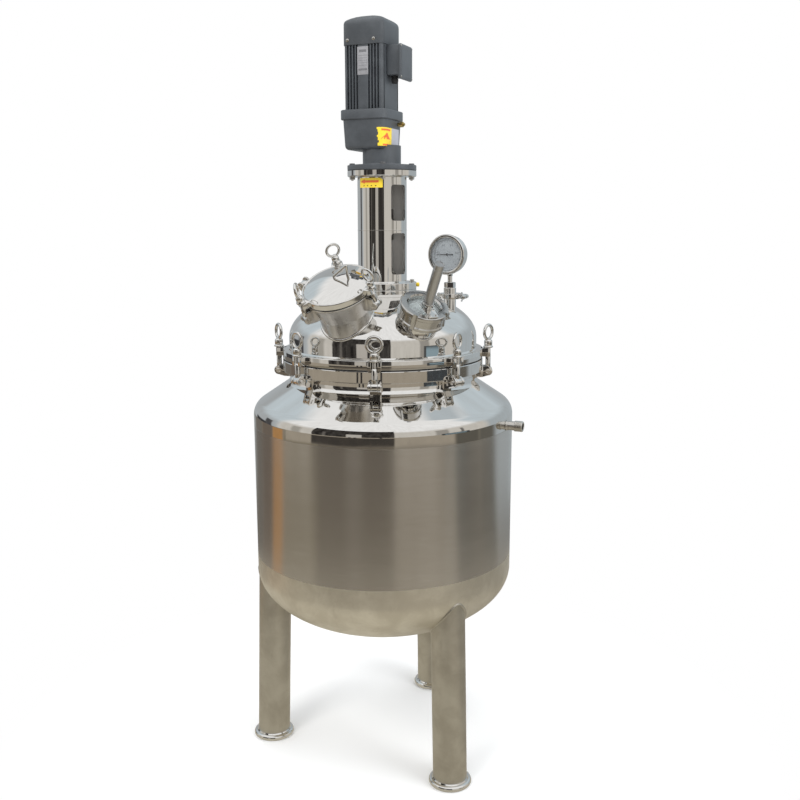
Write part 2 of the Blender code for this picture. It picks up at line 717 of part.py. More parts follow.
def build_vessel():
    """Inner vessel: flange, neck, dished bottom and outlet pipe, with the lugs of the lid bolts."""
    flange_base = VESSEL_FLANGE_TOP - FLANGE_THICKNESS
    pipe_bore = OUTLET_RADIUS - OUTLET_WALL
    outer_end = Vector((OUTLET_RADIUS / VESSEL_RADIUS, 1)).angle(Vector((1, 0)))
    inner_end = Vector((pipe_bore / VESSEL_MOUTH, 1)).angle(Vector((1, 0)))
    inner_depth = VESSEL_DISH_DEPTH - VESSEL_WALL
    outer = arc((0, VESSEL_BASE), VESSEL_RADIUS, 0, -outer_end, 6, VESSEL_DISH_DEPTH / VESSEL_RADIUS)
    inner = arc((0, VESSEL_BASE), VESSEL_MOUTH, -inner_end, 0, 6, inner_depth / VESSEL_MOUTH)
    flange_top = OUTLET_END + OUTLET_FLANGE
    profile = [(FLANGE_RADIUS, VESSEL_FLANGE_TOP), (FLANGE_RADIUS, flange_base), (VESSEL_RADIUS, flange_base)]
    profile += outer[:-1] + [(OUTLET_RADIUS, outer[-1][1]), (OUTLET_RADIUS, flange_top),
                             (OUTLET_FLANGE_RADIUS, flange_top), (OUTLET_FLANGE_RADIUS, OUTLET_END),
                             (pipe_bore, OUTLET_END), (pipe_bore, inner[0][1])]
    profile += inner[1:] + [(VESSEL_MOUTH, VESSEL_FLANGE_TOP)]
    vessel = turned("inner_vessel", profile, "polished_steel", BIG)
    azimuths = ring_azimuths(LID_BOLT_START, LID_BOLT_COUNT)
    root = VESSEL_RADIUS - VESSEL_WALL / 2
    blocks, slots, pins = swing_lugs("lid_lug", azimuths, root, FLANGE_RADIUS + 0.0015, LID_PIVOT_RADIUS,
                                     LID_PIVOT_LEVEL, flange_base + 0.002, LID_BOLT, LID_LUG_WIDTH)
    fuse(vessel, blocks)
    cut(vessel, slots)
    fuse(vessel, pins)
    turned("lid_gasket",
           [(FLANGE_RADIUS - GASKET_INSET, VESSEL_FLANGE_TOP + GASKET_THICKNESS),
            (FLANGE_RADIUS - GASKET_INSET, VESSEL_FLANGE_TOP + GAP),
            (VESSEL_MOUTH + GASKET_INSET, VESSEL_FLANGE_TOP + GAP),
            (VESSEL_MOUTH + GASKET_INSET, VESSEL_FLANGE_TOP + GASKET_THICKNESS)], "black_rubber", BIG)


def build_lid():
    """Dome lid with its flange, the drive pad and the ears of the swing bolts."""
    outer = dome_arc(PAD_RADIUS, 0, DOME_STEPS)
    inner = dome_arc(PAD_BORE, -DOME_WALL, 7)
    profile = [(PAD_BORE, PAD_TOP), (PAD_RADIUS, PAD_TOP)] + outer
    profile += [(DOME_RADIUS, LID_FLANGE_TOP), (FLANGE_RADIUS, LID_FLANGE_TOP),
                (FLANGE_RADIUS, LID_FLANGE_BASE), (DOME_RADIUS - DOME_WALL, LID_FLANGE_BASE)]
    profile += inner[::-1]
    lid = turned("lid", profile, "polished_steel", BIG)
    blocks, slots = ears("lid", ring_azimuths(LID_BOLT_START, LID_BOLT_COUNT), FLANGE_RADIUS - 0.006,
                         LID_PIVOT_RADIUS, LID_FLANGE_BASE + 0.001, LID_FLANGE_TOP, LID_BOLT, LID_EAR_WIDTH)
    fuse(lid, blocks)
    cut(lid, slots)
    return lid


def dome_space():
    """The space under the dome's outer surface, which shapes the foot of each neck."""
    outside = dome_arc(PAD_RADIUS, GAP, DOME_STEPS)
    profile = [(0, outside[0][1])] + outside + [(DOME_RADIUS + GAP, LID_FLANGE_BASE), (0, LID_FLANGE_BASE)]
    return turned("dome_space", profile, None, BIG)


def build_manhole(lid, under_dome):
    base = on_dome(MANHOLE_AZIMUTH, MANHOLE_CENTRE, MANHOLE_TILT, "manhole_axis")
    bore = MANHOLE_NECK_RADIUS - MANHOLE_WALL
    cut(lid, rod("manhole_bore", bore, -2 * NECK_SINK, NECK_SINK, None, MIDDLE, parent=base))
    flange_base = MANHOLE_FLANGE_TOP - MANHOLE_FLANGE_THICKNESS
    neck = turned("manhole_neck",
                  [(MANHOLE_FLANGE_RADIUS, MANHOLE_FLANGE_TOP), (MANHOLE_FLANGE_RADIUS, flange_base),
                   (MANHOLE_NECK_RADIUS, flange_base), (MANHOLE_NECK_RADIUS, -NECK_SINK),
                   (bore, -NECK_SINK), (bore, MANHOLE_FLANGE_TOP)], "brushed_steel", MIDDLE, parent=base)
    azimuths = ring_azimuths(MANHOLE_BOLT_START, MANHOLE_BOLT_COUNT)
    root = MANHOLE_NECK_RADIUS - MANHOLE_WALL / 2
    blocks, slots, pins = swing_lugs("manhole_lug", azimuths, root, MANHOLE_FLANGE_RADIUS + 0.0015,
                                     MANHOLE_PIVOT_RADIUS, MANHOLE_PIVOT_LEVEL, flange_base + 0.002,
                                     MANHOLE_BOLT, MANHOLE_LUG_WIDTH, base)
    hinge_level = COVER_BASE + COVER_RIM / 2
    plates = []
    for side in (-1, 1):
        middle = side * (HINGE_GAP + HINGE_PLATE) / 2
        outline = [(root, flange_base - 0.022), (HINGE_REACH, hinge_level - 0.020)]
        outline += arc((HINGE_REACH, hinge_level), 0.010, -pi / 4, pi, 6)
        outline += [(MANHOLE_FLANGE_RADIUS + 0.004, MANHOLE_FLANGE_TOP - 0.003), (root, flange_base + 0.002)]
        frame = Matrix.Rotation(HINGE_AZIMUTH, 4, "Z") @ Matrix.Translation((middle, 0, 0))
        plates.append(plate(f"hinge_plate_{side}", outline, HINGE_PLATE, parent=base,
                            location=frame.translation, turn=(pi / 2, 0, HINGE_AZIMUTH - pi / 2)))
    hinge_plates = solids_in_one("hinge_plates", plates)
    pin = rod("hinge_pin", HINGE_PIN_RADIUS, -HINGE_GAP / 2 - HINGE_PLATE - 0.003,
              HINGE_GAP / 2 + HINGE_PLATE + 0.003, None, TINY, parent=base,
              location=outward(HINGE_AZIMUTH) * HINGE_REACH + Vector((0, 0, hinge_level)),
              turn=(0, pi / 2, HINGE_AZIMUTH))
    fuse(neck, blocks, hinge_plates)
    cut(neck, slots, under_dome)
    fuse(neck, pins, pin)
    turned("manhole_gasket",
           [(MANHOLE_FLANGE_RADIUS - 0.001, MANHOLE_FLANGE_TOP + GAP + MANHOLE_GASKET),
            (MANHOLE_FLANGE_RADIUS - 0.001, MANHOLE_FLANGE_TOP + GAP),
            (MANHOLE_NECK_RADIUS, MANHOLE_FLANGE_TOP + GAP),
            (MANHOLE_NECK_RADIUS, MANHOLE_FLANGE_TOP + GAP + MANHOLE_GASKET)],
           "black_rubber", MIDDLE, parent=base)
    build_manhole_cover(base, azimuths, hinge_level)
    swing_bolts("manhole", azimuths, MANHOLE_PIVOT_RADIUS, MANHOLE_PIVOT_LEVEL, COVER_SEAT, MANHOLE_BOLT,
                MANHOLE_RING_TURNS, base)
    return base


def build_manhole_cover(base, azimuths, hinge_level):
    """Dished cover with a rolled rim, three ears, a hinge tongue and a bent-rod handle."""
    roll = COVER_ROLL
    crown_radius = COVER_RADIUS - 2 * roll
    rise = COVER_RISE
    sphere = (crown_radius ** 2 + rise ** 2) / (2 * rise)
    centre = COVER_SEAT + rise - sphere
    sweep = Vector((sqrt(sphere ** 2 - crown_radius ** 2), crown_radius)).angle(Vector((1, 0)))
    crown = arc((0, centre), sphere, pi / 2, pi / 2 - sweep, 5)
    rim = arc((COVER_RADIUS - roll, COVER_SEAT - roll), roll, pi / 2, 0, 2)
    mouth = MANHOLE_NECK_RADIUS
    hollow = [(mouth, COVER_BASE), (mouth - 0.006, COVER_SEAT - COVER_WALL)]
    under = arc((0, centre), sphere - COVER_WALL, pi / 2 - sweep * 0.65, pi / 2, 3)
    cover = turned("manhole_cover", crown + rim + [(COVER_RADIUS, COVER_BASE)] + hollow + under,
                   "polished_steel", MIDDLE, parent=base)
    blocks, slots = ears("manhole", azimuths, COVER_RADIUS - 0.006, MANHOLE_PIVOT_RADIUS,
                         COVER_BASE + 0.002, COVER_SEAT, MANHOLE_BOLT, MANHOLE_EAR_WIDTH, base)
    tongue_half = HINGE_GAP / 2 - GAP
    end = HINGE_REACH + 2 * HINGE_PIN_RADIUS
    tongue = block("hinge_tongue", (-tongue_half, -end, hinge_level - 1.6 * HINGE_PIN_RADIUS),
                   (tongue_half, -COVER_RADIUS + 0.006, hinge_level + 1.6 * HINGE_PIN_RADIUS),
                   parent=base, turn=(0, 0, HINGE_AZIMUTH))
    pin_hole = rod("hinge_pin_hole", clear_bore(HINGE_PIN_RADIUS, TINY), -HINGE_GAP, HINGE_GAP, None, TINY, parent=base,
                   location=outward(HINGE_AZIMUTH) * HINGE_REACH + Vector((0, 0, hinge_level)),
                   turn=(0, pi / 2, HINGE_AZIMUTH))
    foot = COVER_SEAT + COVER_RISE - 2 * COVER_WALL
    crest = COVER_SEAT + COVER_RISE + HANDLE_HEIGHT
    bend = 0.006
    half = HANDLE_SPAN / 2
    corner = arc((half - bend, crest - bend), bend, 0, pi / 2, 3)
    path = [(half, 0, foot)] + [(x, 0, z) for x, z in corner]
    path += [(-x, 0, z) for x, z in reversed(corner)] + [(-half, 0, foot)]
    handle = bent_rod("handle", path, HANDLE_WIRE, parent=base,
                      location=(*HANDLE_PLACE, 0), turn=(0, 0, HANDLE_TURN))
    fuse(cover, blocks, tongue, handle)
    cut(cover, slots, pin_hole)


def build_sight_glass(lid, under_dome):
    base = on_dome(SIGHT_AZIMUTH, SIGHT_CENTRE, SIGHT_TILT, "sight_axis")
    bore = SIGHT_NECK_RADIUS - SIGHT_WALL
    cut(lid, rod("sight_bore", bore, -2 * NECK_SINK, NECK_SINK, None, MIDDLE, parent=base))
    seat_base = SIGHT_SEAT - SIGHT_SEAT_THICKNESS
    neck = turned("sight_neck",
                  [(SIGHT_SEAT_RADIUS, SIGHT_SEAT), (SIGHT_SEAT_RADIUS, seat_base),
                   (SIGHT_NECK_RADIUS, seat_base), (SIGHT_NECK_RADIUS, -NECK_SINK),
                   (bore, -NECK_SINK), (bore, SIGHT_SEAT)], "polished_steel", MIDDLE, parent=base)
    cut(neck, under_dome)
    gasket_base = SIGHT_SEAT + GAP
    glass_base = gasket_base + SIGHT_GASKET + GAP
    glass_top = glass_base + GLASS_THICKNESS
    tube("sight_gasket", GLASS_RADIUS, GLASS_RADIUS - bore - 0.001, gasket_base, gasket_base + SIGHT_GASKET,
         "black_rubber", MIDDLE, parent=base)
    rod("sight_glass", GLASS_RADIUS, glass_base, glass_top, "clear_glass", MIDDLE, parent=base)
    lip_base = glass_top + GAP
    nut_top = lip_base + NUT_LIP
    nut_base = seat_base - 0.004
    waist = NUT_RADIUS - NUT_WAIST
    thread = SIGHT_SEAT_RADIUS + 0.0006
    nut = turned("sight_nut",
                 [(NUT_MOUTH + 0.003, nut_top), (NUT_RADIUS - 0.002, nut_top), (NUT_RADIUS, nut_top - 0.002),
                  (NUT_RADIUS, nut_top - 0.010), (waist, nut_top - 0.012), (waist, nut_base + 0.011),
                  (NUT_RADIUS, nut_base + 0.009), (NUT_RADIUS, nut_base + 0.003),
                  (NUT_RADIUS - 0.003, nut_base), (thread, nut_base), (thread, lip_base),
                  (NUT_MOUTH, lip_base), (NUT_MOUTH, nut_top - 0.004)], "polished_steel", MIDDLE, parent=base)
    notches = [block(f"nut_notch_{i}", (-NUT_NOTCH_WIDTH / 2, -NUT_RADIUS - 0.01, nut_base - 0.01),
                     (NUT_NOTCH_WIDTH / 2, -NUT_RADIUS + NUT_NOTCH_DEPTH, nut_top + 0.01),
                     parent=base, turn=(0, 0, azimuth))
               for i, azimuth in enumerate(ring_azimuths(radians(45), NUT_NOTCHES))]
    cut(nut, solids_in_one("nut_notches", notches))
    bracket_base = nut_top + GAP
    bracket_top = bracket_base + BRACKET_THICKNESS
    reach = NUT_RADIUS - NUT_NOTCH_DEPTH
    far = LAMP_RADIUS + 0.002 - LAMP_OFFSET
    outline = rounded_box_outline(BRACKET_WIDTH, reach + far, 0.004)
    bracket = plate("lamp_bracket", outline, BRACKET_THICKNESS, "polished_steel", parent=base,
                    location=(0, (far - reach) / 2, (bracket_base + bracket_top) / 2))
    cut(bracket, rod("lamp_light_hole", BRACKET_BORE, bracket_base - 0.01, bracket_top + 0.01, None, TINY,
                     parent=base, location=(0, -LAMP_OFFSET, 0)))
    lamp_base = bracket_top + GAP
    lamp_top = lamp_base + LAMP_LENGTH
    cap = LAMP_RADIUS * 0.93
    turned("lamp", [(0, lamp_top), (cap, lamp_top), (LAMP_RADIUS, lamp_top - 0.003),
                    (LAMP_RADIUS, lamp_base), (0, lamp_base)], "lamp_grey", SMALL, parent=base,
           location=(0, -LAMP_OFFSET, 0))


def build_gauge(lid, under_dome):
    """Gauge on a clamped pipe: pipe and adapter ferrules meet in the clamp's groove."""
    spot = outward(GAUGE_AZIMUTH) * GAUGE_CENTRE
    base = place("gauge_axis", spot)
    bore = GAUGE_PIPE_RADIUS - GAUGE_PIPE_WALL
    cut(lid, rod("gauge_bore", bore, LID_FLANGE_TOP, CLAMP_LEVEL, None, SMALL, parent=base))
    pipe_top = CLAMP_LEVEL - GAP / 2
    pipe = turned("gauge_pipe",
                  [(FERRULE_RADIUS, pipe_top), (FERRULE_RADIUS, pipe_top - FERRULE_THICKNESS),
                   (GAUGE_PIPE_RADIUS, pipe_top - 2 * FERRULE_THICKNESS), (GAUGE_PIPE_RADIUS, LID_FLANGE_TOP),
                   (bore, LID_FLANGE_TOP), (bore, pipe_top)], "polished_steel", SMALL, parent=base)
    cut(pipe, under_dome)
    adapter_base = CLAMP_LEVEL + GAP / 2
    neck_top = adapter_base + ADAPTER_NECK + 2 * FERRULE_THICKNESS
    hex_top = neck_top + HEX_HEIGHT
    case_bottom = GAUGE_LEVEL - CASE_RADIUS - GAP
    adapter = turned("gauge_adapter",
                     [(0, case_bottom), (STEM_RADIUS, case_bottom), (STEM_RADIUS, hex_top - 0.001),
                      (GAUGE_PIPE_RADIUS * 0.8, hex_top - 0.001), (GAUGE_PIPE_RADIUS * 0.8, neck_top),
                      (GAUGE_PIPE_RADIUS, neck_top - 0.002),
                      (GAUGE_PIPE_RADIUS, adapter_base + 2 * FERRULE_THICKNESS),
                      (FERRULE_RADIUS, adapter_base + FERRULE_THICKNESS), (FERRULE_RADIUS, adapter_base),
                      (0, adapter_base)], "polished_steel", SMALL, parent=base)
    fuse(adapter, rod("gauge_hex", HEX_RADIUS, neck_top, hex_top, None, 6, parent=base))
    build_clamp(base)
    build_gauge_head(base)


def build_clamp(base):
    """Clamp ring with a hinge knuckle, two bolt lugs and a wing nut."""
    inner = FERRULE_RADIUS + GAP
    lip = GAUGE_PIPE_RADIUS + 0.003
    near = FERRULE_THICKNESS + 2 * GAP
    slope = FERRULE_THICKNESS * (inner - lip) / (FERRULE_RADIUS - GAUGE_PIPE_RADIUS)
    half = CLAMP_HALF_HEIGHT
    clamp = turned("gauge_clamp",
                   [(CLAMP_RADIUS, half), (CLAMP_RADIUS, -half), (lip, -half), (lip, -near - slope),
                    (inner, -near), (inner, near), (lip, near + slope), (lip, half)],
                   "polished_steel", SMALL, parent=base, location=(0, 0, CLAMP_LEVEL))
    lug_start = -CLAMP_RADIUS + 0.003
    lug_end = -CLAMP_RADIUS - CLAMP_LUG
    lugs = block("clamp_lugs", (-0.009, lug_end, -half + 0.001), (0.009, lug_start, half - 0.001),
                 parent=base, location=(0, 0, CLAMP_LEVEL), turn=(0, 0, CLAMP_AZIMUTH))
    split = block("clamp_split", (-0.0012, lug_end - 0.01, -half - 0.01), (0.0012, lug_start - 0.002, half + 0.01),
                  parent=base, location=(0, 0, CLAMP_LEVEL), turn=(0, 0, CLAMP_AZIMUTH))
    knuckle = rod("clamp_knuckle", 0.005, -half + 0.001, half - 0.001, None, TINY, parent=base,
                  location=outward(CLAMP_AZIMUTH + pi) * (CLAMP_RADIUS + 0.002) + Vector((0, 0, CLAMP_LEVEL)))
    bolt_place = outward(CLAMP_AZIMUTH) * (CLAMP_RADIUS + CLAMP_BOLT_REACH) + Vector((0, 0, CLAMP_LEVEL))
    along = (0, -pi / 2, CLAMP_AZIMUTH)
    bolt = rod("clamp_bolt", WING_BOLT_RADIUS, -0.013, 0.022, None, TINY, parent=base, location=bolt_place,
               turn=along)
    fuse(clamp, lugs, knuckle)
    cut(clamp, split)
    fuse(clamp, bolt)
    bore = clear_bore(WING_BOLT_RADIUS, TINY)
    nut = turned("gauge_wing_nut", [(0.0055, 0.010), (0.0075, 0), (bore, 0), (bore, 0.010)],
                 "polished_steel", TINY, parent=base,
                 location=bolt_place + Matrix.Rotation(CLAMP_AZIMUTH, 3, "Z") @ Vector((-0.009 - GAP, 0, 0)),
                 turn=along)
    wings = []
    for side in (0, pi):
        outline = [(0.0045, 0.001), (0.0095, 0.005)] + arc((0.0095, 0.0090), 0.003, -pi / 3, pi * 0.8, 4)
        outline += [(0.0045, 0.008)]
        wings.append(plate(f"wing_{side:.0f}", outline, 0.002, parent=nut, turn=(pi / 2, 0, side)))
    fuse(nut, solids_in_one("wings", wings))


def build_gauge_head(base):
    """Round case with its bezel, dial, window and needle; local Z points out of the face."""
    head = place("gauge_face", (0, 0, GAUGE_LEVEL), (pi / 2, 0, GAUGE_TURN), base)
    inside = CASE_RADIUS - CASE_WALL
    bezel_base = CASE_FRONT - BEZEL_DEPTH
    window_base = CASE_FRONT - 0.004
    lip = DIAL_RADIUS - 0.0005
    turned("gauge_case",
           [(lip, CASE_FRONT), (BEZEL_RADIUS - 0.002, CASE_FRONT), (BEZEL_RADIUS, CASE_FRONT - 0.002),
            (BEZEL_RADIUS, bezel_base), (CASE_RADIUS, bezel_base), (CASE_RADIUS, -CASE_BACK + 0.004),
            (CASE_RADIUS - 0.004, -CASE_BACK), (0, -CASE_BACK), (0, -CASE_BACK + CASE_WALL),
            (inside - 0.003, -CASE_BACK + CASE_WALL), (inside, -CASE_BACK + CASE_WALL + 0.003),
            (inside, window_base + WINDOW_THICKNESS + 2 * GAP), (lip, window_base + WINDOW_THICKNESS + 2 * GAP)],
           "polished_steel", MIDDLE, parent=head)
    dial_base = CASE_FRONT - DIAL_DEPTH
    rod("gauge_dial", inside - GAP, dial_base, dial_base + DIAL_THICKNESS, "dial_white", MIDDLE, parent=head)
    rod("gauge_window", inside - GAP, window_base, window_base + WINDOW_THICKNESS, "clear_glass", MIDDLE,
        parent=head)
    hub_base = dial_base + DIAL_THICKNESS + GAP
    needle = rod("gauge_needle", NEEDLE_HUB, hub_base, hub_base + 0.0032, "needle_black", TINY, parent=head)
    half = NEEDLE_WIDTH / 2
    outline = [(-NEEDLE_LENGTH, -half * 0.2), (0, -half), (NEEDLE_TAIL, -half * 1.6), (NEEDLE_TAIL, half * 1.6),
               (0, half), (-NEEDLE_LENGTH, half * 0.2)]
    hand = plate("needle_hand", outline, NEEDLE_THICKNESS, parent=head, location=(0, 0, hub_base + 0.0016))
    fuse(needle, hand)


def build_drive():
    """Lantern, seal, coupled shafts and the anchor stirrer."""
    bore = LANTERN_RADIUS - LANTERN_WALL
    foot_top = LANTERN_BASE + LANTERN_FOOT_FLANGE
    head_base = LANTERN_TOP - LANTERN_HEAD_FLANGE
    seal_hole = SEAL_RADIUS + GAP
    head_hole = GEAR_NECK_RADIUS
    lantern = turned("lantern",
                     [(LANTERN_FLANGE_RADIUS, LANTERN_TOP), (LANTERN_FLANGE_RADIUS, head_base),
                      (LANTERN_RADIUS, head_base), (LANTERN_RADIUS, foot_top),
                      (LANTERN_FLANGE_RADIUS, foot_top), (LANTERN_FLANGE_RADIUS, LANTERN_BASE),
                      (seal_hole, LANTERN_BASE), (seal_hole, foot_top), (bore, foot_top),
                      (bore, head_base), (head_hole, head_base), (head_hole, LANTERN_TOP)],
                     "polished_steel", MIDDLE)
    openings = []
    for side in (0, pi):
        for level, (low, high) in WINDOWS.items():
            outline = rounded_box_outline(WINDOW_WIDTH, high - low, WINDOW_CORNER)
            azimuth = WINDOW_AZIMUTH + side
            openings.append(plate(f"window_{level}_{side:.0f}", outline, LANTERN_RADIUS * 0.8,
                                  location=outward(azimuth) * LANTERN_RADIUS + Vector((0, 0, (low + high) / 2)),
                                  turn=(pi / 2, 0, azimuth)))
    cut(lantern, solids_in_one("window_cutters", openings))
    shaft_hole = clear_bore(SHAFT_RADIUS, SMALL)
    seal_top = LANTERN_BASE + SEAL_HEIGHT
    turned("mechanical_seal",
           [(SEAL_RADIUS * 0.6, seal_top), (SEAL_RADIUS * 0.66, seal_top - 0.004),
            (SEAL_RADIUS * 0.66, seal_top - 0.012), (SEAL_RADIUS * 0.82, seal_top - 0.014),
            (SEAL_RADIUS * 0.82, LANTERN_BASE + 0.014), (SEAL_RADIUS, LANTERN_BASE + 0.012),
            (SEAL_RADIUS, LANTERN_BASE), (shaft_hole, LANTERN_BASE), (shaft_hole, seal_top)],
           "polished_steel", SMALL)
    joint_level = COUPLING_LEVEL
    rod("agitator_shaft", SHAFT_RADIUS, SHAFT_BASE, joint_level - GAP, "polished_steel", SMALL)
    rod("output_shaft", OUTPUT_RADIUS, joint_level + GAP, GEAR_NECK_TOP, "dark_steel", SMALL)
    low = joint_level - COUPLING_LENGTH / 2
    high = joint_level + COUPLING_LENGTH / 2
    turned("coupling",
           [(OUTPUT_RADIUS + GAP, high), (COUPLING_RADIUS - 0.002, high), (COUPLING_RADIUS, high - 0.002),
            (COUPLING_RADIUS, joint_level + 0.003), (COUPLING_RADIUS - 0.002, joint_level),
            (COUPLING_RADIUS, joint_level - 0.003), (COUPLING_RADIUS, low + 0.002),
            (COUPLING_RADIUS - 0.002, low), (shaft_hole, low), (shaft_hole, joint_level),
            (OUTPUT_RADIUS + GAP, joint_level)], "dark_steel", SMALL)
    build_anchor(shaft_hole)


def build_anchor(shaft_hole):
    """Anchor stirrer: a flat bar that follows the vessel's wall and dish, on a bored hub."""
    squash = ANCHOR_DEPTH / ANCHOR_RADIUS
    inner_radius = ANCHOR_RADIUS - ANCHOR_BAR
    inner_squash = (ANCHOR_DEPTH - ANCHOR_BAR) / inner_radius
    outline = [(ANCHOR_RADIUS, ANCHOR_TOP)] + arc((0, VESSEL_BASE), ANCHOR_RADIUS, 0, -pi, 12, squash)
    outline += [(-ANCHOR_RADIUS, ANCHOR_TOP), (-inner_radius, ANCHOR_TOP)]
    outline += arc((0, VESSEL_BASE), inner_radius, -pi, 0, 12, inner_squash) + [(inner_radius, ANCHOR_TOP)]
    anchor = plate("anchor_stirrer", outline[::-1], ANCHOR_THICKNESS, "polished_steel", turn=(pi / 2, 0, 0))
    hub_base = VESSEL_BASE - ANCHOR_DEPTH - 0.004
    hub_top = hub_base + ANCHOR_HUB_HEIGHT
    fuse(anchor, rod("anchor_hub", ANCHOR_HUB_RADIUS, hub_base, hub_top, None, SMALL))
    cut(anchor, rod("anchor_bore", shaft_hole, SHAFT_BASE - GAP, hub_top + 0.01, None, SMALL))


def finned_outline():
    """Motor housing outline, with cooling grooves beside a plain band on each face."""
    points = []
    for face in range(4):
        band = TERMINAL_BAND_HALF if face == 0 else BAND_HALF
        turn = Matrix.Rotation(face * pi / 2, 2)
        grooves = []
        edge = band
        while edge + FIN_GROOVE < MOTOR_HALF - MOTOR_CORNER + 0.004:
            grooves.append((edge, edge + FIN_GROOVE))
            edge += FIN_PITCH
        spans = [(-b, -a) for a, b in reversed(grooves)] + grooves
        for low, high in spans:
            for depth, across in ((0, low), (FIN_DEPTH, low + 0.0005), (FIN_DEPTH, high - 0.0005), (0, high)):
                points.append(tuple(turn @ Vector((MOTOR_HALF - depth, across))))
        start = MOTOR_HALF - MOTOR_CORNER
        for x, y in arc((start, start), MOTOR_CORNER, 0.15, pi / 2 - 0.15, 3):
            points.append(tuple(turn @ Vector((x, y))))
    return points


def build_gear_motor():
    side = Matrix.Rotation(MOTOR_TURN, 3, "Z") @ Vector((1, 0, 0))
    motor = place("motor_axis", side * -MOTOR_OFFSET, (0, 0, MOTOR_TURN))
    flange_base = LANTERN_TOP + GAP
    flange_top = flange_base + GEAR_FLANGE_THICKNESS
    small = GEAR_HALF - GEAR_TAPER
    rings = [raised(rounded_square(small - 0.010, GEAR_CORNER - 0.008), GEAR_NECK_TOP - 0.001),
             raised(rounded_square(small - 0.002, GEAR_CORNER - 0.002), GEAR_NECK_TOP + 0.005),
             raised(rounded_square(small, GEAR_CORNER), GEAR_NECK_TOP + 0.012),
             raised(rounded_square(GEAR_HALF, GEAR_CORNER), GEAR_BODY_TOP),
             raised(rounded_square(GEAR_RIM_HALF, GEAR_RIM_CORNER), GEAR_BODY_TOP + 0.001),
             raised(rounded_square(GEAR_RIM_HALF, GEAR_RIM_CORNER), GEAR_RIM_TOP - 0.002),
             raised(rounded_square(GEAR_RIM_HALF - 0.002, GEAR_RIM_CORNER - 0.002), GEAR_RIM_TOP)]
    case = lofted("gear_case", rings, "motor_paint", parent=motor)
    neck = turned("gear_neck",
                  [(0, GEAR_NECK_TOP + 0.010), (GEAR_NECK_RADIUS, GEAR_NECK_TOP + 0.010),
                   (GEAR_NECK_RADIUS, flange_top + 0.004), (GEAR_NECK_RADIUS + 0.004, flange_top),
                   (GEAR_FLANGE_RADIUS, flange_top), (GEAR_FLANGE_RADIUS, flange_base), (0, flange_base)],
                  None, MIDDLE)
    bore = rod("output_bore", clear_bore(OUTPUT_RADIUS, SMALL), flange_base - 0.01, GEAR_NECK_TOP + GAP, None, SMALL)
    fuse(case, neck)
    cut(case, bore)
    outline = finned_outline()
    lofted("motor_housing", [raised(outline, GEAR_RIM_TOP + GAP), raised(outline, MOTOR_TOP)], "motor_paint",
           parent=motor)
    rings = [raised(rounded_square(COVER_HALF, COVER_CORNER), MOTOR_TOP + GAP)]
    rings += [raised(rounded_square(COVER_HALF * share, COVER_CORNER * share), COVER_SHOULDER + rise * CROWN_RISE)
              for share, rise in CROWN]
    lofted("fan_cover", rings, "motor_paint", parent=motor)
    build_terminal_box(motor)
    vent_level = GEAR_BODY_TOP - VENT_DROP
    seat = GEAR_HALF + GAP
    vent_end = seat + VENT_LENGTH
    turned("vent_plug",
           [(0, vent_end), (VENT_RADIUS * 0.6, vent_end), (VENT_RADIUS, vent_end - 0.003),
            (VENT_RADIUS, seat + 0.006), (VENT_RADIUS * 0.7, seat + 0.006), (VENT_RADIUS * 0.7, seat), (0, seat)],
           "brass", TINY, parent=motor, location=(0, VENT_SHIFT, vent_level), turn=(0, pi / 2, 0))


def build_terminal_box(motor):
    """Terminal box on the plain side of the motor, its lid and the cable gland below it."""
    deep, wide, tall = TERMINAL_SIZE
    low_x = MOTOR_HALF + GAP
    high_x = low_x + deep
    low_y = TERMINAL_SHIFT - wide / 2
    high_y = TERMINAL_SHIFT + wide / 2
    top = TERMINAL_BASE + tall
    box = block("terminal_box", (low_x, low_y, TERMINAL_BASE), (high_x, high_y, top), "motor_paint", parent=motor)
    round_edges(box, 0.003, 2)
    margin = TERMINAL_LID_MARGIN
    lid_base = TERMINAL_BASE - TERMINAL_LID_DROP
    lid_mid = (lid_base + top + margin) / 2
    outline = rounded_box_outline(wide + 2 * margin, top + margin - lid_base, 0.006)
    small = [(x * 0.94, y * 0.94) for x, y in outline]
    small_low = [(x * 0.80, y * 0.80) for x, y in outline]
    start = high_x + GAP
    rings = [raised(outline, start), raised(outline, start + TERMINAL_LID_THICKNESS * 0.55),
             raised(small, start + TERMINAL_LID_THICKNESS * 0.85),
             raised(small_low, start + TERMINAL_LID_THICKNESS)]
    lofted("terminal_lid", rings, "motor_paint", parent=motor, location=(0, TERMINAL_SHIFT, lid_mid),
           turn=(pi / 2, 0, pi / 2))
    across, along = GLAND_PLACE
    gland_top = TERMINAL_BASE - GAP
    turned("cable_gland",
           [(0, gland_top), (GLAND_RADIUS, gland_top), (GLAND_RADIUS, gland_top - GLAND_LENGTH * 0.6),
            (GLAND_RADIUS * 0.75, gland_top - GLAND_LENGTH), (0, gland_top - GLAND_LENGTH)],
           "black_rubber", TINY, parent=motor,
           location=(low_x + across, TERMINAL_SHIFT + along, 0))


def build_kettle():
    build_jacket()
    build_legs()
    build_vessel()
    lid = build_lid()
    under_dome = dome_space()
    build_manhole(lid, under_dome)
    build_sight_glass(lid, under_dome)
    build_gauge(lid, under_dome)
    swing_bolts("lid", ring_azimuths(LID_BOLT_START, LID_BOLT_COUNT), LID_PIVOT_RADIUS, LID_PIVOT_LEVEL,
                LID_FLANGE_TOP, LID_BOLT, LID_RING_TURNS)
    build_drive()
    build_gear_motor()


clear_scene()
PARTS = make_collection("reaction_kettle")
CUTTERS = make_collection("cutters")
build_kettle()
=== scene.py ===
"""Looks of the reaction kettle: polished, brushed and matte steel, painted drive, glass and labels."""

import json
from math import acos, asin, cos, pi, radians, sin, sqrt, tan

import bmesh
import bpy
from mathutils import Matrix, Vector


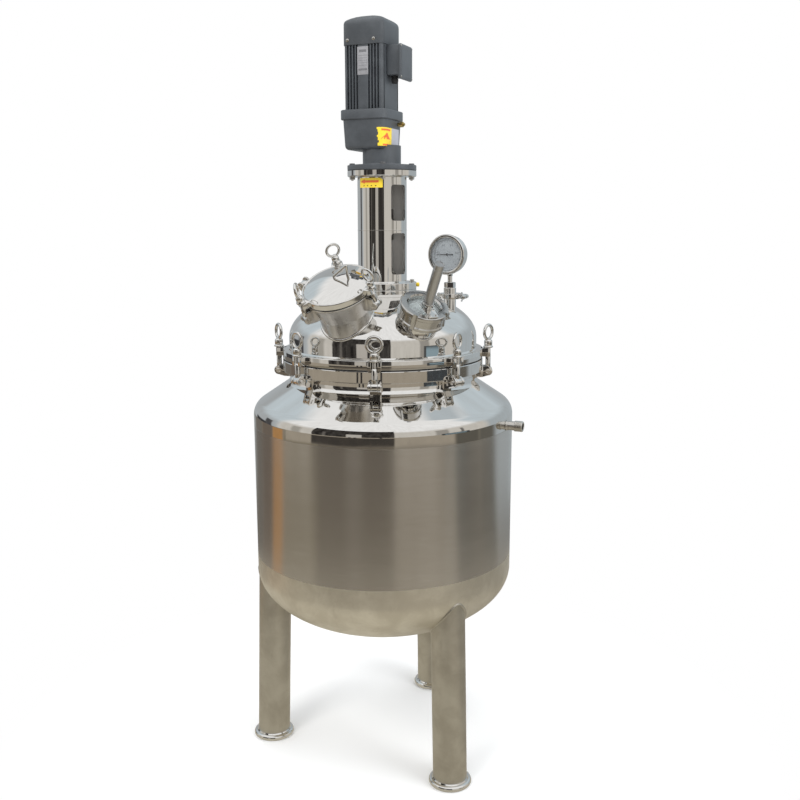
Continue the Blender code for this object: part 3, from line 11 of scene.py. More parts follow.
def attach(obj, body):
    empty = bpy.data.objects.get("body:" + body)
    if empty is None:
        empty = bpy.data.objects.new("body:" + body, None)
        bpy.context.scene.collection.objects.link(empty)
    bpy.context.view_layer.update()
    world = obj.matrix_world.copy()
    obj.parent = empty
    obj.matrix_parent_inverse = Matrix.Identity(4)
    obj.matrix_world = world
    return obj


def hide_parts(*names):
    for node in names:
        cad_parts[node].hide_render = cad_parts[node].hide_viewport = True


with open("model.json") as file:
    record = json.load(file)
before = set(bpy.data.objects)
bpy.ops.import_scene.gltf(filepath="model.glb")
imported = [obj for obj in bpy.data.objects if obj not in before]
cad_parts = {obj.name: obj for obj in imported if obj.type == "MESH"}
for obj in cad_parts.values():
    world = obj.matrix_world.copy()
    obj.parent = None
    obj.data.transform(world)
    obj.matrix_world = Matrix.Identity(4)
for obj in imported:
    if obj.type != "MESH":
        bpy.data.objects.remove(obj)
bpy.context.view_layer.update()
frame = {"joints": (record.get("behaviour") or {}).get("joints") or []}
JOINTS = {joint["name"]: joint for joint in frame["joints"]}

# Sizes in metres, the same as the solids have; azimuth 0 is -Y and grows towards +X.
GAP = 0.0003  # between pieces that touch

# Jacket and vessel
JACKET_RADIUS = 0.350
JACKET_WALL = 0.005
JACKET_BASE = 0.518
DISH_DEPTH = 0.172
SHOULDER_TOP = 1.037
SHOULDER_ANGLE = radians(33.7)
SHOULDER_KNUCKLE = 0.045
POLISH_LINE = 0.920
DISH_WELD = 0.5634
VESSEL_RADIUS = 0.249
VESSEL_WALL = 0.004
VESSEL_BASE = 0.620
VESSEL_DISH = 0.1245
OUTLET = dict(radius=0.024, wall=0.004, end=0.300, flange=0.006, flange_radius=0.033)

# Legs and side nozzle
LEG_RADIUS = 0.0445
LEG_TOP = 0.560
LEG_FLOOR_CIRCLE = 0.321
LEG_TOP_CIRCLE = 0.303
LEGS = {"leg_left": radians(-88), "leg_right": radians(32), "leg_rear": radians(152)}
FOOT_RADIUS = 0.056
FOOT_HEIGHT = 0.016
NOZZLE_AZIMUTH = radians(66)
NOZZLE_HEIGHT = 0.932
NOZZLE_REACH = 0.394

# Clamped flange, lid and its eight swing bolts
FLANGE_RADIUS = 0.2685
FLANGE = 0.0235
VESSEL_TOP = 1.093
LID_BASE = 1.0965
LID_TOP = 1.120
DOME_RADIUS = 0.251
DOME_BASE = 1.150
DOME_DEPTH = 0.125
DOME_WALL = 0.004
PAD_RADIUS = 0.090
PAD_TOP = 1.277
PAD_BORE = 0.022
LID_BOLTS = 8
LID_BOLT_START = radians(-4.3)
LID_PIVOT_RADIUS = 0.283
LID_PIVOT = 1.058
RING_TURNS = {"lid": (0, 18, -35, 10, 0, -15, 31, 0), "manhole": (80, 20, -33)}  # degrees
LID_BOLT = dict(shank=0.0070, eye=0.0110, eye_width=0.0160, pin=0.0050, collar=0.0130, body=0.0110,
                body_height=0.0230, ring=0.0188, wire=0.0042, seat_reach=0.0055, lug=0.031)
COVER_BOLT = dict(shank=0.0060, eye=0.0095, eye_width=0.0140, pin=0.0045, collar=0.0110, body=0.0095,
                  body_height=0.0200, ring=0.0162, wire=0.0034, seat_reach=0.0045, lug=0.026)

# Manhole with its cover and three swing bolts, in its own leaning frame
MANHOLE_AZIMUTH = radians(-26)
MANHOLE_CENTRE = 0.2057
MANHOLE_TILT = radians(31.7)
MANHOLE_NECK = 0.0654
NECK_WALL = 0.004
MANHOLE_FLANGE = 0.084
MANHOLE_TOP = 0.078
COVER_BASE = 0.081
COVER_RADIUS = 0.088
COVER_RIM = 0.016
COVER_RISE = 0.020
COVER_BOLTS = 3
COVER_BOLT_START = radians(84)
MANHOLE_PIVOT_RADIUS = 0.100
MANHOLE_PIVOT = 0.050
HINGE_AZIMUTH = radians(264)
HINGE_REACH = 0.099

# Sight glass with its lamp, in its own leaning frame
SIGHT_AZIMUTH = radians(24)
SIGHT_CENTRE = 0.2227
SIGHT_TILT = radians(32.5)
SIGHT_NECK = 0.044
SIGHT_SEAT = 0.023
NUT_RADIUS = 0.0612
GLASS_RADIUS = 0.0485
GLASS_BASE = 0.0256
GLASS_TOP = 0.0396
NUT_TOP = 0.0542
LAMP_RADIUS = 0.0124
LAMP_OFFSET = 0.013
LAMP_LENGTH = 0.124

# Pressure gauge
GAUGE_AZIMUTH = radians(66.8)
GAUGE_CENTRE = 0.190
GAUGE_PIPE = 0.016
CLAMP_LEVEL = 1.2626
CLAMP_AZIMUTH = radians(60)
GAUGE_LEVEL = 1.3691
GAUGE_TURN = radians(-31)

# Lantern, shafts and drive
LANTERN_BASE = 1.2773
LANTERN_TOP = 1.583
LANTERN_RADIUS = 0.0644
LANTERN_WALL = 0.005
LANTERN_FLANGE = 0.090
LANTERN_HEAD = 0.015
LANTERN_MOUTH = 0.0498
HEAD_BOLTS = dict(count=4, radius=0.0775, start=radians(-88))
LANTERN_SEAM = 1.4305
PORT_AZIMUTH = radians(101)
SHAFT_RADIUS = 0.015
SHAFT_END = 0.552
SHAFT_JOINT = 1.445
ANCHOR_RADIUS = 0.210
ANCHOR_DEPTH = 0.095
ANCHOR_BLADE = 0.030
ANCHOR_TOP = 0.960
HUB_BASE = 0.521
HUB_TOP = 0.601
DRIVE_TOP = 1.636
WINDOW_AZIMUTH = radians(44)
WINDOW_WIDTH = 0.050
WINDOWS = ((1.317, 1.423), (1.455, 1.546))
MOTOR_TURN = radians(-24)
MOTOR_OFFSET = 0.027
GEAR_BASE = 1.635
GEAR_TOP = 1.709
GEAR_RIM_TOP = 1.734
GEAR_HALF = 0.061
GEAR_TAPER = 0.003
MOTOR_TOP = 1.891
MOTOR_HALF = 0.054
COVER_HALF = 0.0566
TERMINAL_BASE = 1.817
TERMINAL_TALL = 0.073
TERMINAL_DEEP = 0.034
TERMINAL_WIDE = 0.074
TERMINAL_SHIFT = 0.008
FAN_SHOULDER = 1.944
FAN_PEAK = 1.966
FAN_SCREWS = 1.9025
PLATE_LEVEL = 1.852

ROUND = 256  # steps round the large turned shapes
DEGREES = 180 / pi
HALL_CENTRE = 1.2
HALL_RADIUS = 8.0
CAMERA_SPOT = (0.00114, -2.57336, 1.45511)
CAMERA_TURNS = radians(10.59), radians(0.99), radians(-0.15)  # pitch, yaw and roll
CAMERA_LENS = 43.17  # millimetres on a sensor 36 wide
STILL = Matrix()
SIDE_FACE = Matrix(((0, 0, 1, 0), (1, 0, 0, 0), (0, 1, 0, 0), (0, 0, 0, 1)))  # local Z lies along X


class Value:
    """A shader socket that takes part in arithmetic."""

    def __init__(self, look, socket):
        self.look = look
        self.socket = socket

    def math(self, operation, *others):
        """The result of a math node."""
        made = self.look.node("ShaderNodeMath", {"operation": operation}, self, *others)
        return Value(self.look, made.outputs[0])

    def __add__(self, other):
        return self.math("ADD", other)

    def __sub__(self, other):
        return self.math("SUBTRACT", other)

    def __rsub__(self, other):
        return (self * -1.0).math("ADD", other)

    def __mul__(self, other):
        return self.math("MULTIPLY", other)

    def between(self, low, high):
        """0 below low and 1 above high, with a smooth step between."""
        made = self.look.node("ShaderNodeMapRange", {"interpolation_type": "SMOOTHSTEP"}, self, low, high, 0.0, 1.0)
        return Value(self.look, made.outputs[0])


class Look:
    """A material under construction, with its Principled shader."""

    def __init__(self, name, base, roughness, metallic=0.0, **fixed):
        self.material = bpy.data.materials.new(name)
        self.material.use_nodes = True
        self.tree = self.material.node_tree
        self.shader = self.tree.nodes["Principled BSDF"]
        self.base = base
        self.set(Base_Color=(*base, 1), Roughness=roughness, Metallic=metallic, **fixed)
        self.material.diffuse_color = (*base, 1)

    def feed(self, socket, value):
        """A link or a fixed value for a socket."""
        if isinstance(value, Value):
            self.tree.links.new(value.socket, socket)
        else:
            socket.default_value = value

    def set(self, **inputs):
        """Inputs of the Principled shader by name."""
        for name, value in inputs.items():
            self.feed(self.shader.inputs[name.replace("_", " ")], value)

    def node(self, kind, settings, *values, **inputs):
        """A node with its settings made first, then the values or links of its sockets."""
        made = self.tree.nodes.new(kind)
        for name, value in settings.items():
            setattr(made, name, value)
        for socket, value in zip(made.inputs, values):
            self.feed(socket, value)
        for name, value in inputs.items():
            self.feed(made.inputs[name.replace("_", " ")], value)
        return made

    def out(self, made, name=0):
        """An output of a node."""
        return Value(self, made.outputs[name])

    def spot(self):
        """Object coordinates."""
        return self.out(self.node("ShaderNodeTexCoord", {}), "Object")

    def parts(self, vector):
        """The three parts of a vector."""
        made = self.node("ShaderNodeSeparateXYZ", {}, vector)
        return [Value(self, socket) for socket in made.outputs]

    def stretched(self, vector, scale):
        """A vector scaled by a factor for each axis."""
        made = self.node("ShaderNodeMapping", {}, Vector=vector, Scale=scale)
        return self.out(made)

    def noise(self, vector, scale, detail=3.0, roughness=0.55, distortion=0.0):
        """Cloudy noise between 0 and 1."""
        made = self.node("ShaderNodeTexNoise", {}, Vector=vector, Scale=scale, Detail=detail,
                         Roughness=roughness, Distortion=distortion)
        return self.out(made, "Fac")

    def pits(self, vector, scale):
        """Distance to the nearest of scattered points."""
        made = self.node("ShaderNodeTexVoronoi", {"feature": "F1"}, Vector=vector, Scale=scale)
        return self.out(made, "Distance")

    def mix(self, factor, first, second):
        """One colour at factor 0, the other at 1."""
        made = self.node("ShaderNodeMix", {"data_type": "RGBA"})
        colours = [socket for socket in made.inputs if socket.type == "RGBA"]
        self.feed(made.inputs[0], factor)
        self.feed(colours[0], first if isinstance(first, Value) else (*first, 1))
        self.feed(colours[1], second if isinstance(second, Value) else (*second, 1))
        return Value(self, [socket for socket in made.outputs if socket.type == "RGBA"][0])

    def surface(self, socket):
        """Gives the material another surface than its Principled shader."""
        self.tree.links.new(socket, self.tree.nodes["Material Output"].inputs["Surface"])

    def bump(self, height, strength, distance):
        """Fine relief of the surface."""
        made = self.node("ShaderNodeBump", {}, Strength=strength, Distance=distance, Height=height)
        self.set(Normal=self.out(made))


def around(look):
    """Azimuth in radians, height and distance from the kettle's axis."""
    x, y, z = look.parts(look.spot())
    return x.math("ARCTAN2", y * -1.0), z, (x * x + y * y).math("POWER", 0.5)


def shade(colour, factor):
    """A colour made lighter or darker."""
    return tuple(c * factor for c in colour)


def polished_steel():
    """Mirror steel with buffing haze, faint smears and slow waves in the sheet."""
    look = Look("mirror_polished_steel", (0.80, 0.79, 0.77), 0.05, 1.0)
    spot = look.spot()
    haze = look.noise(spot, 9.0, 5.0, 0.6, 0.4).between(0.45, 0.75)
    smears = look.noise(look.stretched(spot, (40.0, 40.0, 9.0)), 1.0, 4.0, 0.65).between(0.56, 0.74)
    look.set(Roughness=haze * 0.035 + smears * 0.05 + 0.035)
    look.set(Base_Color=look.mix(smears * 0.35, look.base, (0.70, 0.69, 0.665)))
    waves = look.noise(spot, 5.5, 1.0, 0.4)
    fine = look.noise(spot, 70.0, 2.0, 0.5)
    look.bump(waves + fine * 0.02, 0.10, 0.006)
    return look.material


def brushed_steel():
    """Fine circumferential brushing with soft bands and a few long scratches."""
    look = Look("fine_brushed_steel", (0.70, 0.675, 0.64), 0.30, 1.0, Anisotropic=0.72,
                Anisotropic_Rotation=0.25)
    shell = look.out(look.node("ShaderNodeCombineXYZ", {}, *around(look)))
    grain = look.noise(look.stretched(shell, (6.0, 900.0, 1.0)), 1.0, 3.0, 0.6)
    broad = look.noise(look.stretched(shell, (1.2, 26.0, 1.0)), 1.0, 3.0, 0.5)
    bands = look.noise(look.stretched(shell, (3.4, 0.5, 1.0)), 1.0, 2.0, 0.5).between(0.30, 0.72)
    scratches = look.noise(look.stretched(shell, (9.0, 260.0, 1.0)), 1.0, 1.0, 0.3).between(0.70, 0.76)
    tone = look.mix(grain.between(0.25, 0.75) * 0.4 + bands * 0.6, (0.63, 0.605, 0.57), (0.73, 0.71, 0.68))
    look.set(Base_Color=look.mix(scratches * 0.25, tone, (0.84, 0.83, 0.81)))
    look.set(Roughness=broad * 0.05 + grain * 0.03 + 0.20)
    look.bump(grain + scratches * 0.5, 0.035, 0.0004)
    return look.material


def matte_steel(name, lift):
    """Pickled, lightly pitted steel of the dish and the legs; lift scales all its colours, so each copy carries its own
    painted light.
    """
    look = Look(name, shade((0.62, 0.59, 0.52), lift), 0.42, 1.0)
    spot = look.spot()
    clouds = look.noise(spot, 14.0, 5.0, 0.6, 0.3).between(0.30, 0.72)
    stains = look.noise(look.stretched(spot, (30.0, 30.0, 11.0)), 1.0, 4.0, 0.6).between(0.58, 0.72)
    pits = look.pits(spot, 260.0).between(0.10, 0.42)
    grain = look.noise(spot, 520.0, 2.0, 0.6)
    tone = look.mix(clouds, shade((0.56, 0.53, 0.465), lift), shade((0.68, 0.655, 0.59), lift))
    look.set(Base_Color=look.mix(stains * 0.3, tone, shade((0.48, 0.45, 0.39), lift)))
    look.set(Roughness=clouds * -0.10 + grain * 0.10 + 0.40)
    look.bump(pits * 0.5 + grain * 0.35 + clouds * 0.3, 0.30, 0.0012)
    return look.material


def motor_paint():
    """Dark grey-blue spray paint with orange peel, worn a little lighter in patches."""
    look = Look("motor_paint", (0.064, 0.071, 0.079), 0.40, 0.0, Coat_Weight=0.12, Coat_Roughness=0.3)
    spot = look.spot()
    peel = look.noise(spot, 420.0, 2.0, 0.5)
    patches = look.noise(spot, 22.0, 5.0, 0.6).between(0.35, 0.75)
    dust = look.noise(spot, 900.0, 1.0, 0.5).between(0.62, 0.75)
    tone = look.mix(patches, (0.056, 0.062, 0.069), (0.075, 0.083, 0.092))
    look.set(Base_Color=look.mix(dust * 0.25, tone, (0.13, 0.14, 0.15)))
    look.set(Roughness=patches * 0.10 + peel * 0.08 + 0.33)
    look.bump(peel, 0.22, 0.0006)
    return look.material


def plain(name, base, roughness, metallic=0.0, grain=300.0, depth=0.15, spread=0.12, **fixed):
    """A smaller part's finish: a grain that varies tone, gloss and surface together."""
    look = Look(name, base, roughness, metallic, **fixed)
    spot = look.spot()
    fine = look.noise(spot, grain, 3.0, 0.6)
    wide = look.noise(spot, grain / 14.0, 4.0, 0.6).between(0.3, 0.7)
    look.set(Base_Color=look.mix(wide * 0.7 + fine * 0.3, shade(base, 1.0 - spread), shade(base, 1.0 + spread)))
    look.set(Roughness=fine * 0.14 + wide * 0.06 + (roughness - 0.09))
    look.bump(fine, depth, 0.0005)
    return look.material


def glass_look():
    """Sight glass, a little smeared and dull."""
    look = Look("sight_glass", (0.72, 0.78, 0.78), 0.03, 0.0, IOR=1.47, Transmission_Weight=0.66)
    spot = look.spot()
    smear = look.noise(spot, 60.0, 4.0, 0.6).between(0.5, 0.8)
    look.set(Roughness=smear * 0.05 + 0.02)
    look.bump(look.noise(spot, 25.0, 2.0, 0.5), 0.03, 0.001)
    return look.material


def window_look():
    """Thin pane over the dial: mostly clear, with a soft reflection."""
    look = Look("dial_pane", (0.9, 0.93, 0.94), 0.05, 0.0, IOR=1.45)
    clear = look.node("ShaderNodeBsdfTransparent", {})
    strength = look.out(look.node("ShaderNodeLayerWeight", {}, Blend=0.35), "Fresnel") * 0.4 + 0.02
    blend = look.node("ShaderNodeMixShader", {}, strength, look.out(clear), look.out(look.shader))
    look.surface(blend.outputs[0])
    look.set(Roughness=look.noise(look.spot(), 90.0, 3.0, 0.6) * 0.05 + 0.02)
    return look.material


def dial_look():
    """Off-white printed dial, its base painted down to grey as painted shade, with a slight cool tone that varies in
    soft clouds.
    """
    # The base is a mid grey, far below the dial's off-white: painted shade.
    look = Look("dial_face", (0.33, 0.355, 0.375), 0.45)
    spot = look.spot()
    cloud = look.noise(spot, 45.0, 4.0, 0.6).between(0.3, 0.7)
    look.set(Base_Color=look.mix(cloud, (0.31, 0.335, 0.355), (0.35, 0.375, 0.395)))
    look.set(Roughness=cloud * 0.08 + 0.40)
    look.bump(look.noise(spot, 900.0, 2.0, 0.5), 0.05, 0.0003)
    return look.material


LOOKS = {
    "polished_steel": polished_steel(),
    "brushed_steel": brushed_steel(),
    # The dish's copy is made about 1.4 times lighter than the legs': painted light on the downward-facing dish.
    "matte_steel": matte_steel("pickled_matte_steel", 0.93),
    "dish_steel_painted_lighter": matte_steel("pickled_dish_steel", 1.30),
    "motor_paint": motor_paint(),
    "satin_steel": plain("satin_steel", (0.66, 0.645, 0.61), 0.26, 1.0, 600.0, 0.12, 0.08),
    "lamp_grey": plain("lamp_satin", (0.54, 0.54, 0.54), 0.33, 1.0, 500.0, 0.2, 0.08),
    "neck_steel": plain("neck_steel", (0.66, 0.64, 0.605), 0.30, 1.0, 600.0, 0.06, 0.05),
    "cover_steel": plain("nut_steel", (0.56, 0.55, 0.53), 0.10, 1.0, 500.0, 0.06, 0.06),
    "dark_steel": plain("oiled_dark_steel", (0.30, 0.29, 0.28), 0.34, 1.0, 400.0, 0.2, 0.2),
    "sooty_steel": plain("unpolished_bore", (0.60, 0.58, 0.55), 0.45, 0.25, 260.0, 0.3, 0.12),
    "cast_steel": plain("cast_dark_steel", (0.16, 0.16, 0.165), 0.46, 0.8, 260.0, 0.5, 0.2),
    "black_rubber": plain("black_rubber", (0.018, 0.018, 0.019), 0.62, 0.0, 700.0, 0.3, 0.3),
    "brass": plain("brass", (0.66, 0.50, 0.20), 0.24, 1.0, 500.0, 0.15, 0.15),
    "needle_black": plain("needle_black", (0.012, 0.012, 0.013), 0.38, 0.0, 900.0, 0.1, 0.2),
    "clear_glass": glass_look(),
    "dial_pane": window_look(),
    "dial_white": dial_look(),
    "yellow": plain("yellow_film", (0.86, 0.62, 0.035), 0.40, 0.0, 240.0, 0.12, 0.06),
    "orange_red": plain("orange_red_print", (0.72, 0.13, 0.03), 0.42, 0.0, 240.0, 0.12, 0.06),
    "lilac_foil": plain("lilac_foil", (0.60, 0.60, 0.66), 0.34, 0.55, 240.0, 0.15, 0.08),
    "plate_silver": plain("name_plate", (0.34, 0.34, 0.355), 0.45, 0.35, 900.0, 0.12, 0.10),
    "plate_grey": plain("plate_print", (0.17, 0.17, 0.18), 0.5, 0.2, 900.0, 0.12, 0.10),
}


def circle(radius, steps):
    """Points (x, y) round a circle."""
    return [(radius * cos(2 * pi * i / steps), radius * sin(2 * pi * i / steps)) for i in range(steps)]


def arc(centre, radius, start, end, steps, squash=1.0):
    """Points (r, z) on an arc from one angle to another, with its height squashed."""
    return [(centre[0] + radius * cos(start + (end - start) * i / steps),
             centre[1] + squash * radius * sin(start + (end - start) * i / steps))
            for i in range(steps + 1)]


def softened(points, size, closed=True, steps=3):
    """The outline with each sharp corner off the axis turned into a small round."""
    count = len(points)
    result = []
    for i, point in enumerate(points):
        here = Vector(point)
        if not closed and i in (0, count - 1):
            result.append(tuple(here))
            continue
        before = Vector(points[i - 1]) - here
        after = Vector(points[(i + 1) % count]) - here
        near = min(before.length, after.length)
        if near < 1e-6 or before.angle(after) > radians(165) or here.x == 0:
            result.append(tuple(here))
            continue
        reach = min(size, near * 0.45)
        first = here + before.normalized() * reach
        last = here + after.normalized() * reach
        for k in range(steps + 1):
            t = k / steps
            result.append(tuple(first * (1 - t) ** 2 + here * 2 * t * (1 - t) + last * t * t))
    return result


def lathe(outline, steps=128, place=STILL, soft=0.0):
    """A turned shape: (r, z) points from the top down the outer side, closed on the axis or on themselves."""
    solid = outline[0][0] == 0 and outline[-1][0] == 0
    points = softened(outline, soft, not solid) if soft else outline
    shape = bmesh.new()
    rings = []
    for r, z in points:
        if r == 0:
            rings.append([shape.verts.new(place @ Vector((0, 0, z)))] * steps)
            continue
        rings.append([shape.verts.new(place @ Vector((x, y, z))) for x, y in circle(r, steps)])
    pairs = list(zip(rings, rings[1:]))
    if not solid:
        pairs.append((rings[-1], rings[0]))
    for upper, lower in pairs:
        for i in range(steps):
            j = (i + 1) % steps
            corners = []
            for vertex in (upper[i], lower[i], lower[j], upper[j]):
                if vertex not in corners:
                    corners.append(vertex)
            if len(corners) > 2:
                shape.faces.new(corners)
    return closed_mesh(shape)


def closed_mesh(shape):
    """The finished mesh of a closed shape, its faces pointing outwards."""
    bmesh.ops.recalc_face_normals(shape, faces=shape.faces)
    mesh = bpy.data.meshes.new("shape")
    shape.to_mesh(mesh)
    shape.free()
    return mesh


def rod(radius, high, low, steps=32, place=STILL, soft=0.0):
    """A plain round bar between two heights."""
    return lathe([(0, high), (radius, high), (radius, low), (0, low)], steps, place, soft)


def band(inner, outer, high, low, steps=28, place=STILL, soft=0.0):
    """A plain ring of square section between two heights."""
    return lathe([(inner, high), (outer, high), (outer, low), (inner, low)], steps, place, soft)


def bar(outline, low, high, place=STILL, soft=0.001):
    """A flat shape in local XY, drawn up from one height to another, with rounded edges."""
    shape = bmesh.new()
    base = shape.faces.new([shape.verts.new((x, y, low)) for x, y in outline])
    raised = bmesh.ops.extrude_face_region(shape, geom=[base])
    tops = [item for item in raised["geom"] if isinstance(item, bmesh.types.BMVert)]
    bmesh.ops.translate(shape, verts=tops, vec=(0, 0, high - low))
    bmesh.ops.recalc_face_normals(shape, faces=shape.faces)
    if soft:
        sharp = [edge for edge in shape.edges if edge.calc_face_angle(0) > radians(40)]
        bmesh.ops.bevel(shape, geom=sharp, offset=soft, segments=2, profile=0.6, affect="EDGES",
                        clamp_overlap=True)
    shape.transform(place)
    return closed_mesh(shape)


def slab(low, high, place=STILL, soft=0.001):
    """A block between two corners."""
    outline = [(low[0], low[1]), (high[0], low[1]), (high[0], high[1]), (low[0], high[1])]
    return bar(outline, low[2], high[2], place, soft)


def skin(shape, pairs):
    """Faces between rings of vertices that match one by one, pair by pair."""
    for lower, upper in pairs:
        for i in range(len(lower)):
            j = (i + 1) % len(lower)
            shape.faces.new((lower[i], lower[j], upper[j], upper[i]))
    return closed_mesh(shape)


def sweep(points, radius, sides=12, closed=False, place=STILL):
    """A round rod along points; its ends are closed unless the path is."""
    path = [Vector(p) for p in points]
    count = len(path)
    tangents = []
    for i in range(count):
        before = path[i - 1] if closed or i else path[i]
        after = path[(i + 1) % count] if closed or i < count - 1 else path[i]
        tangents.append((after - before).normalized())
    normal = tangents[0].orthogonal().normalized()
    shape = bmesh.new()
    rings = []
    for point, tangent in zip(path, tangents):
        normal = (normal - tangent * normal.dot(tangent)).normalized()
        side = tangent.cross(normal)
        rings.append([shape.verts.new(place @ (point + normal * x + side * y)) for x, y in circle(radius, sides)])
    pairs = list(zip(rings, rings[1:]))
    if closed:
        last = rings[-1]
        shift = min(range(sides), key=lambda s: (last[0].co - rings[0][s].co).length)
        pairs.append((last, rings[0][shift:] + rings[0][:shift]))
    else:
        shape.faces.new(rings[0][::-1])
        shape.faces.new(rings[-1])
    return skin(shape, pairs)


def hoop(radius, wire, place=STILL, steps=48, sides=14):
    """A round wire ring in local XY."""
    return sweep(at_height(circle(radius, steps), 0), wire, sides, True, place)


def loft(rings, place=STILL):
    """A closed solid through rings of points that match one by one, from the bottom up."""
    shape = bmesh.new()
    levels = [[shape.verts.new(place @ Vector(p)) for p in ring] for ring in rings]
    shape.faces.new(levels[0][::-1])
    shape.faces.new(levels[-1])
    return skin(shape, zip(levels, levels[1:]))


def rounded_rectangle(width, height, corner, steps=6):
    """A rectangle's outline with round corners."""
    points = []
    for sign_x, sign_y, start in ((1, 1, 0), (-1, 1, pi / 2), (-1, -1, pi), (1, -1, 3 * pi / 2)):
        centre = (sign_x * (width / 2 - corner), sign_y * (height / 2 - corner))
        points += arc(centre, corner, start, start + pi / 2, steps)
    return points


def at_height(outline, level):
    """A flat outline as points in space."""
    return [(x, y, level) for x, y in outline]


def joined(shapes):
    """One mesh of several."""
    whole = bmesh.new()
    for mesh in shapes:
        whole.from_mesh(mesh)
    result = bpy.data.meshes.new("joined")
    whole.to_mesh(result)
    whole.free()
    return result


def linked(name, data):
    """A new object in the scene."""
    item = bpy.data.objects.new(name, data)
    bpy.context.scene.collection.objects.link(item)
    return item


def baked(item):
    """The item's shape with its modifiers applied, as a plain mesh; the item goes."""
    bpy.context.view_layer.update()
    graph = bpy.context.evaluated_depsgraph_get()
    mesh = bpy.data.meshes.new_from_object(item.evaluated_get(graph))
    bpy.data.objects.remove(item)
    return mesh


def carved(mesh, tool, operation="DIFFERENCE"):
    """The mesh after an exact cut or union with another."""
    item, other = linked("carving", mesh), linked("carving_tool", tool)
    change = item.modifiers.new("cut", "BOOLEAN")
    change.operation = operation
    change.solver = "EXACT"
    change.object = other
    result = baked(item)
    bpy.data.objects.remove(other)
    return result


def piece(name, shapes, look, body="kettle", stands_for=(), sharp=34):
    """One visible piece from its shapes: shaded, finished, riding on its body."""
    mesh = joined(shapes)
    mesh.name = name
    mesh.materials.clear()
    mesh.materials.append(LOOKS[look])
    mesh.polygons.foreach_set("material_index", [0] * len(mesh.polygons))
    mesh.shade_smooth()
    mesh.set_sharp_from_angle(angle=radians(sharp))
    item = linked(name, mesh)
    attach(item, body)
    if stands_for:
        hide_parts(*stands_for)
    return item


def outward(azimuth):
    """The level direction at an azimuth."""
    return Vector((sin(azimuth), -cos(azimuth), 0))


def turned(azimuth, place=STILL):
    """A frame turned about the axis; its -Y points outward at the azimuth."""
    return place @ Matrix.Rotation(azimuth, 4, "Z")


def moved(x, y, z, place=STILL):
    """A frame moved along its own axes."""
    return place @ Matrix.Translation((x, y, z))


def tipped(angle, axis, place=STILL):
    """A frame turned about one of its own axes."""
    return place @ Matrix.Rotation(angle, 4, axis)


def facing(place=STILL):
    """A frame whose Z takes the place of its -Y, so that outlines stand upright."""
    return tipped(pi / 2, "X", place)


def dome_level(radius):
    """Height of the dome's outer side at a distance from the axis."""
    return DOME_BASE + DOME_DEPTH * sqrt(max(0.0, 1 - (radius / DOME_RADIUS) ** 2))


def on_dome(azimuth, radius, tilt):
    """The frame of a fitting that leans outward from its spot on the dome."""
    spot = outward(azimuth) * radius
    return tipped(tilt, "X", turned(azimuth, moved(spot.x, spot.y, dome_level(radius))))


MANHOLE = on_dome(MANHOLE_AZIMUTH, MANHOLE_CENTRE, MANHOLE_TILT)
SIGHT = on_dome(SIGHT_AZIMUTH, SIGHT_CENTRE, SIGHT_TILT)
GAUGE = Matrix.Translation(outward(GAUGE_AZIMUTH) * GAUGE_CENTRE)
GAUGE_FACE = facing(turned(GAUGE_TURN, moved(0, 0, GAUGE_LEVEL, GAUGE)))
SIDE = Matrix.Rotation(MOTOR_TURN, 3, "Z") @ Vector((1, 0, 0))
MOTOR = turned(MOTOR_TURN, Matrix.Translation(SIDE * -MOTOR_OFFSET))
NOZZLE = facing(turned(NOZZLE_AZIMUTH, moved(0, 0, NOZZLE_HEIGHT)))


def crossing(held, low, high):
    """The height where a test that holds at low stops holding, by halving."""
    for _ in range(30):
        middle = (low + high) / 2
        low, high = (middle, high) if held(middle) else (low, middle)
    return low


def foot_of_tube(place, radius, grow=0.0, steps=96):
    """The line where the upright tube of a fitting meets the dome."""
    def inside_dome(point):
        across = (point.x ** 2 + point.y ** 2) / DOME_RADIUS ** 2
        rise = max(0.0, point.z - DOME_BASE) / DOME_DEPTH
        return across <= 1 and (rise == 0 or across + rise ** 2 < 1)

    line = []
    for x, y in circle(radius + grow, steps):
        level = crossing(lambda z: inside_dome(place @ Vector((x, y, z))), -0.10, 0.10)
        line.append(place @ Vector((x, y, level)))
    return line


def repeated(name, item_mesh, count, radius, level, look, start=0.0, sweep_angle=2 * pi, place=STILL):
    """A Geometry Nodes tree that sets one shape at equal steps round an axis, made a plain mesh."""
    item = linked("repeated_item", item_mesh)
    tree = bpy.data.node_groups.get("around_an_axis") or around_tree()
    holder = linked(name, bpy.data.meshes.new(name))
    change = holder.modifiers.new("repeat", "NODES")
    change.node_group = tree
    values = {"Item": item, "Count": count, "Radius": radius, "Level": level, "Start": start,
              "Step": sweep_angle / count, "Finish": LOOKS[look]}
    for socket in tree.interface.items_tree:
        if getattr(socket, "in_out", "") == "INPUT" and socket.name in values:
            change[socket.identifier] = values[socket.name]
    result = baked(holder)
    bpy.data.objects.remove(item)
    result.transform(place)
    return result


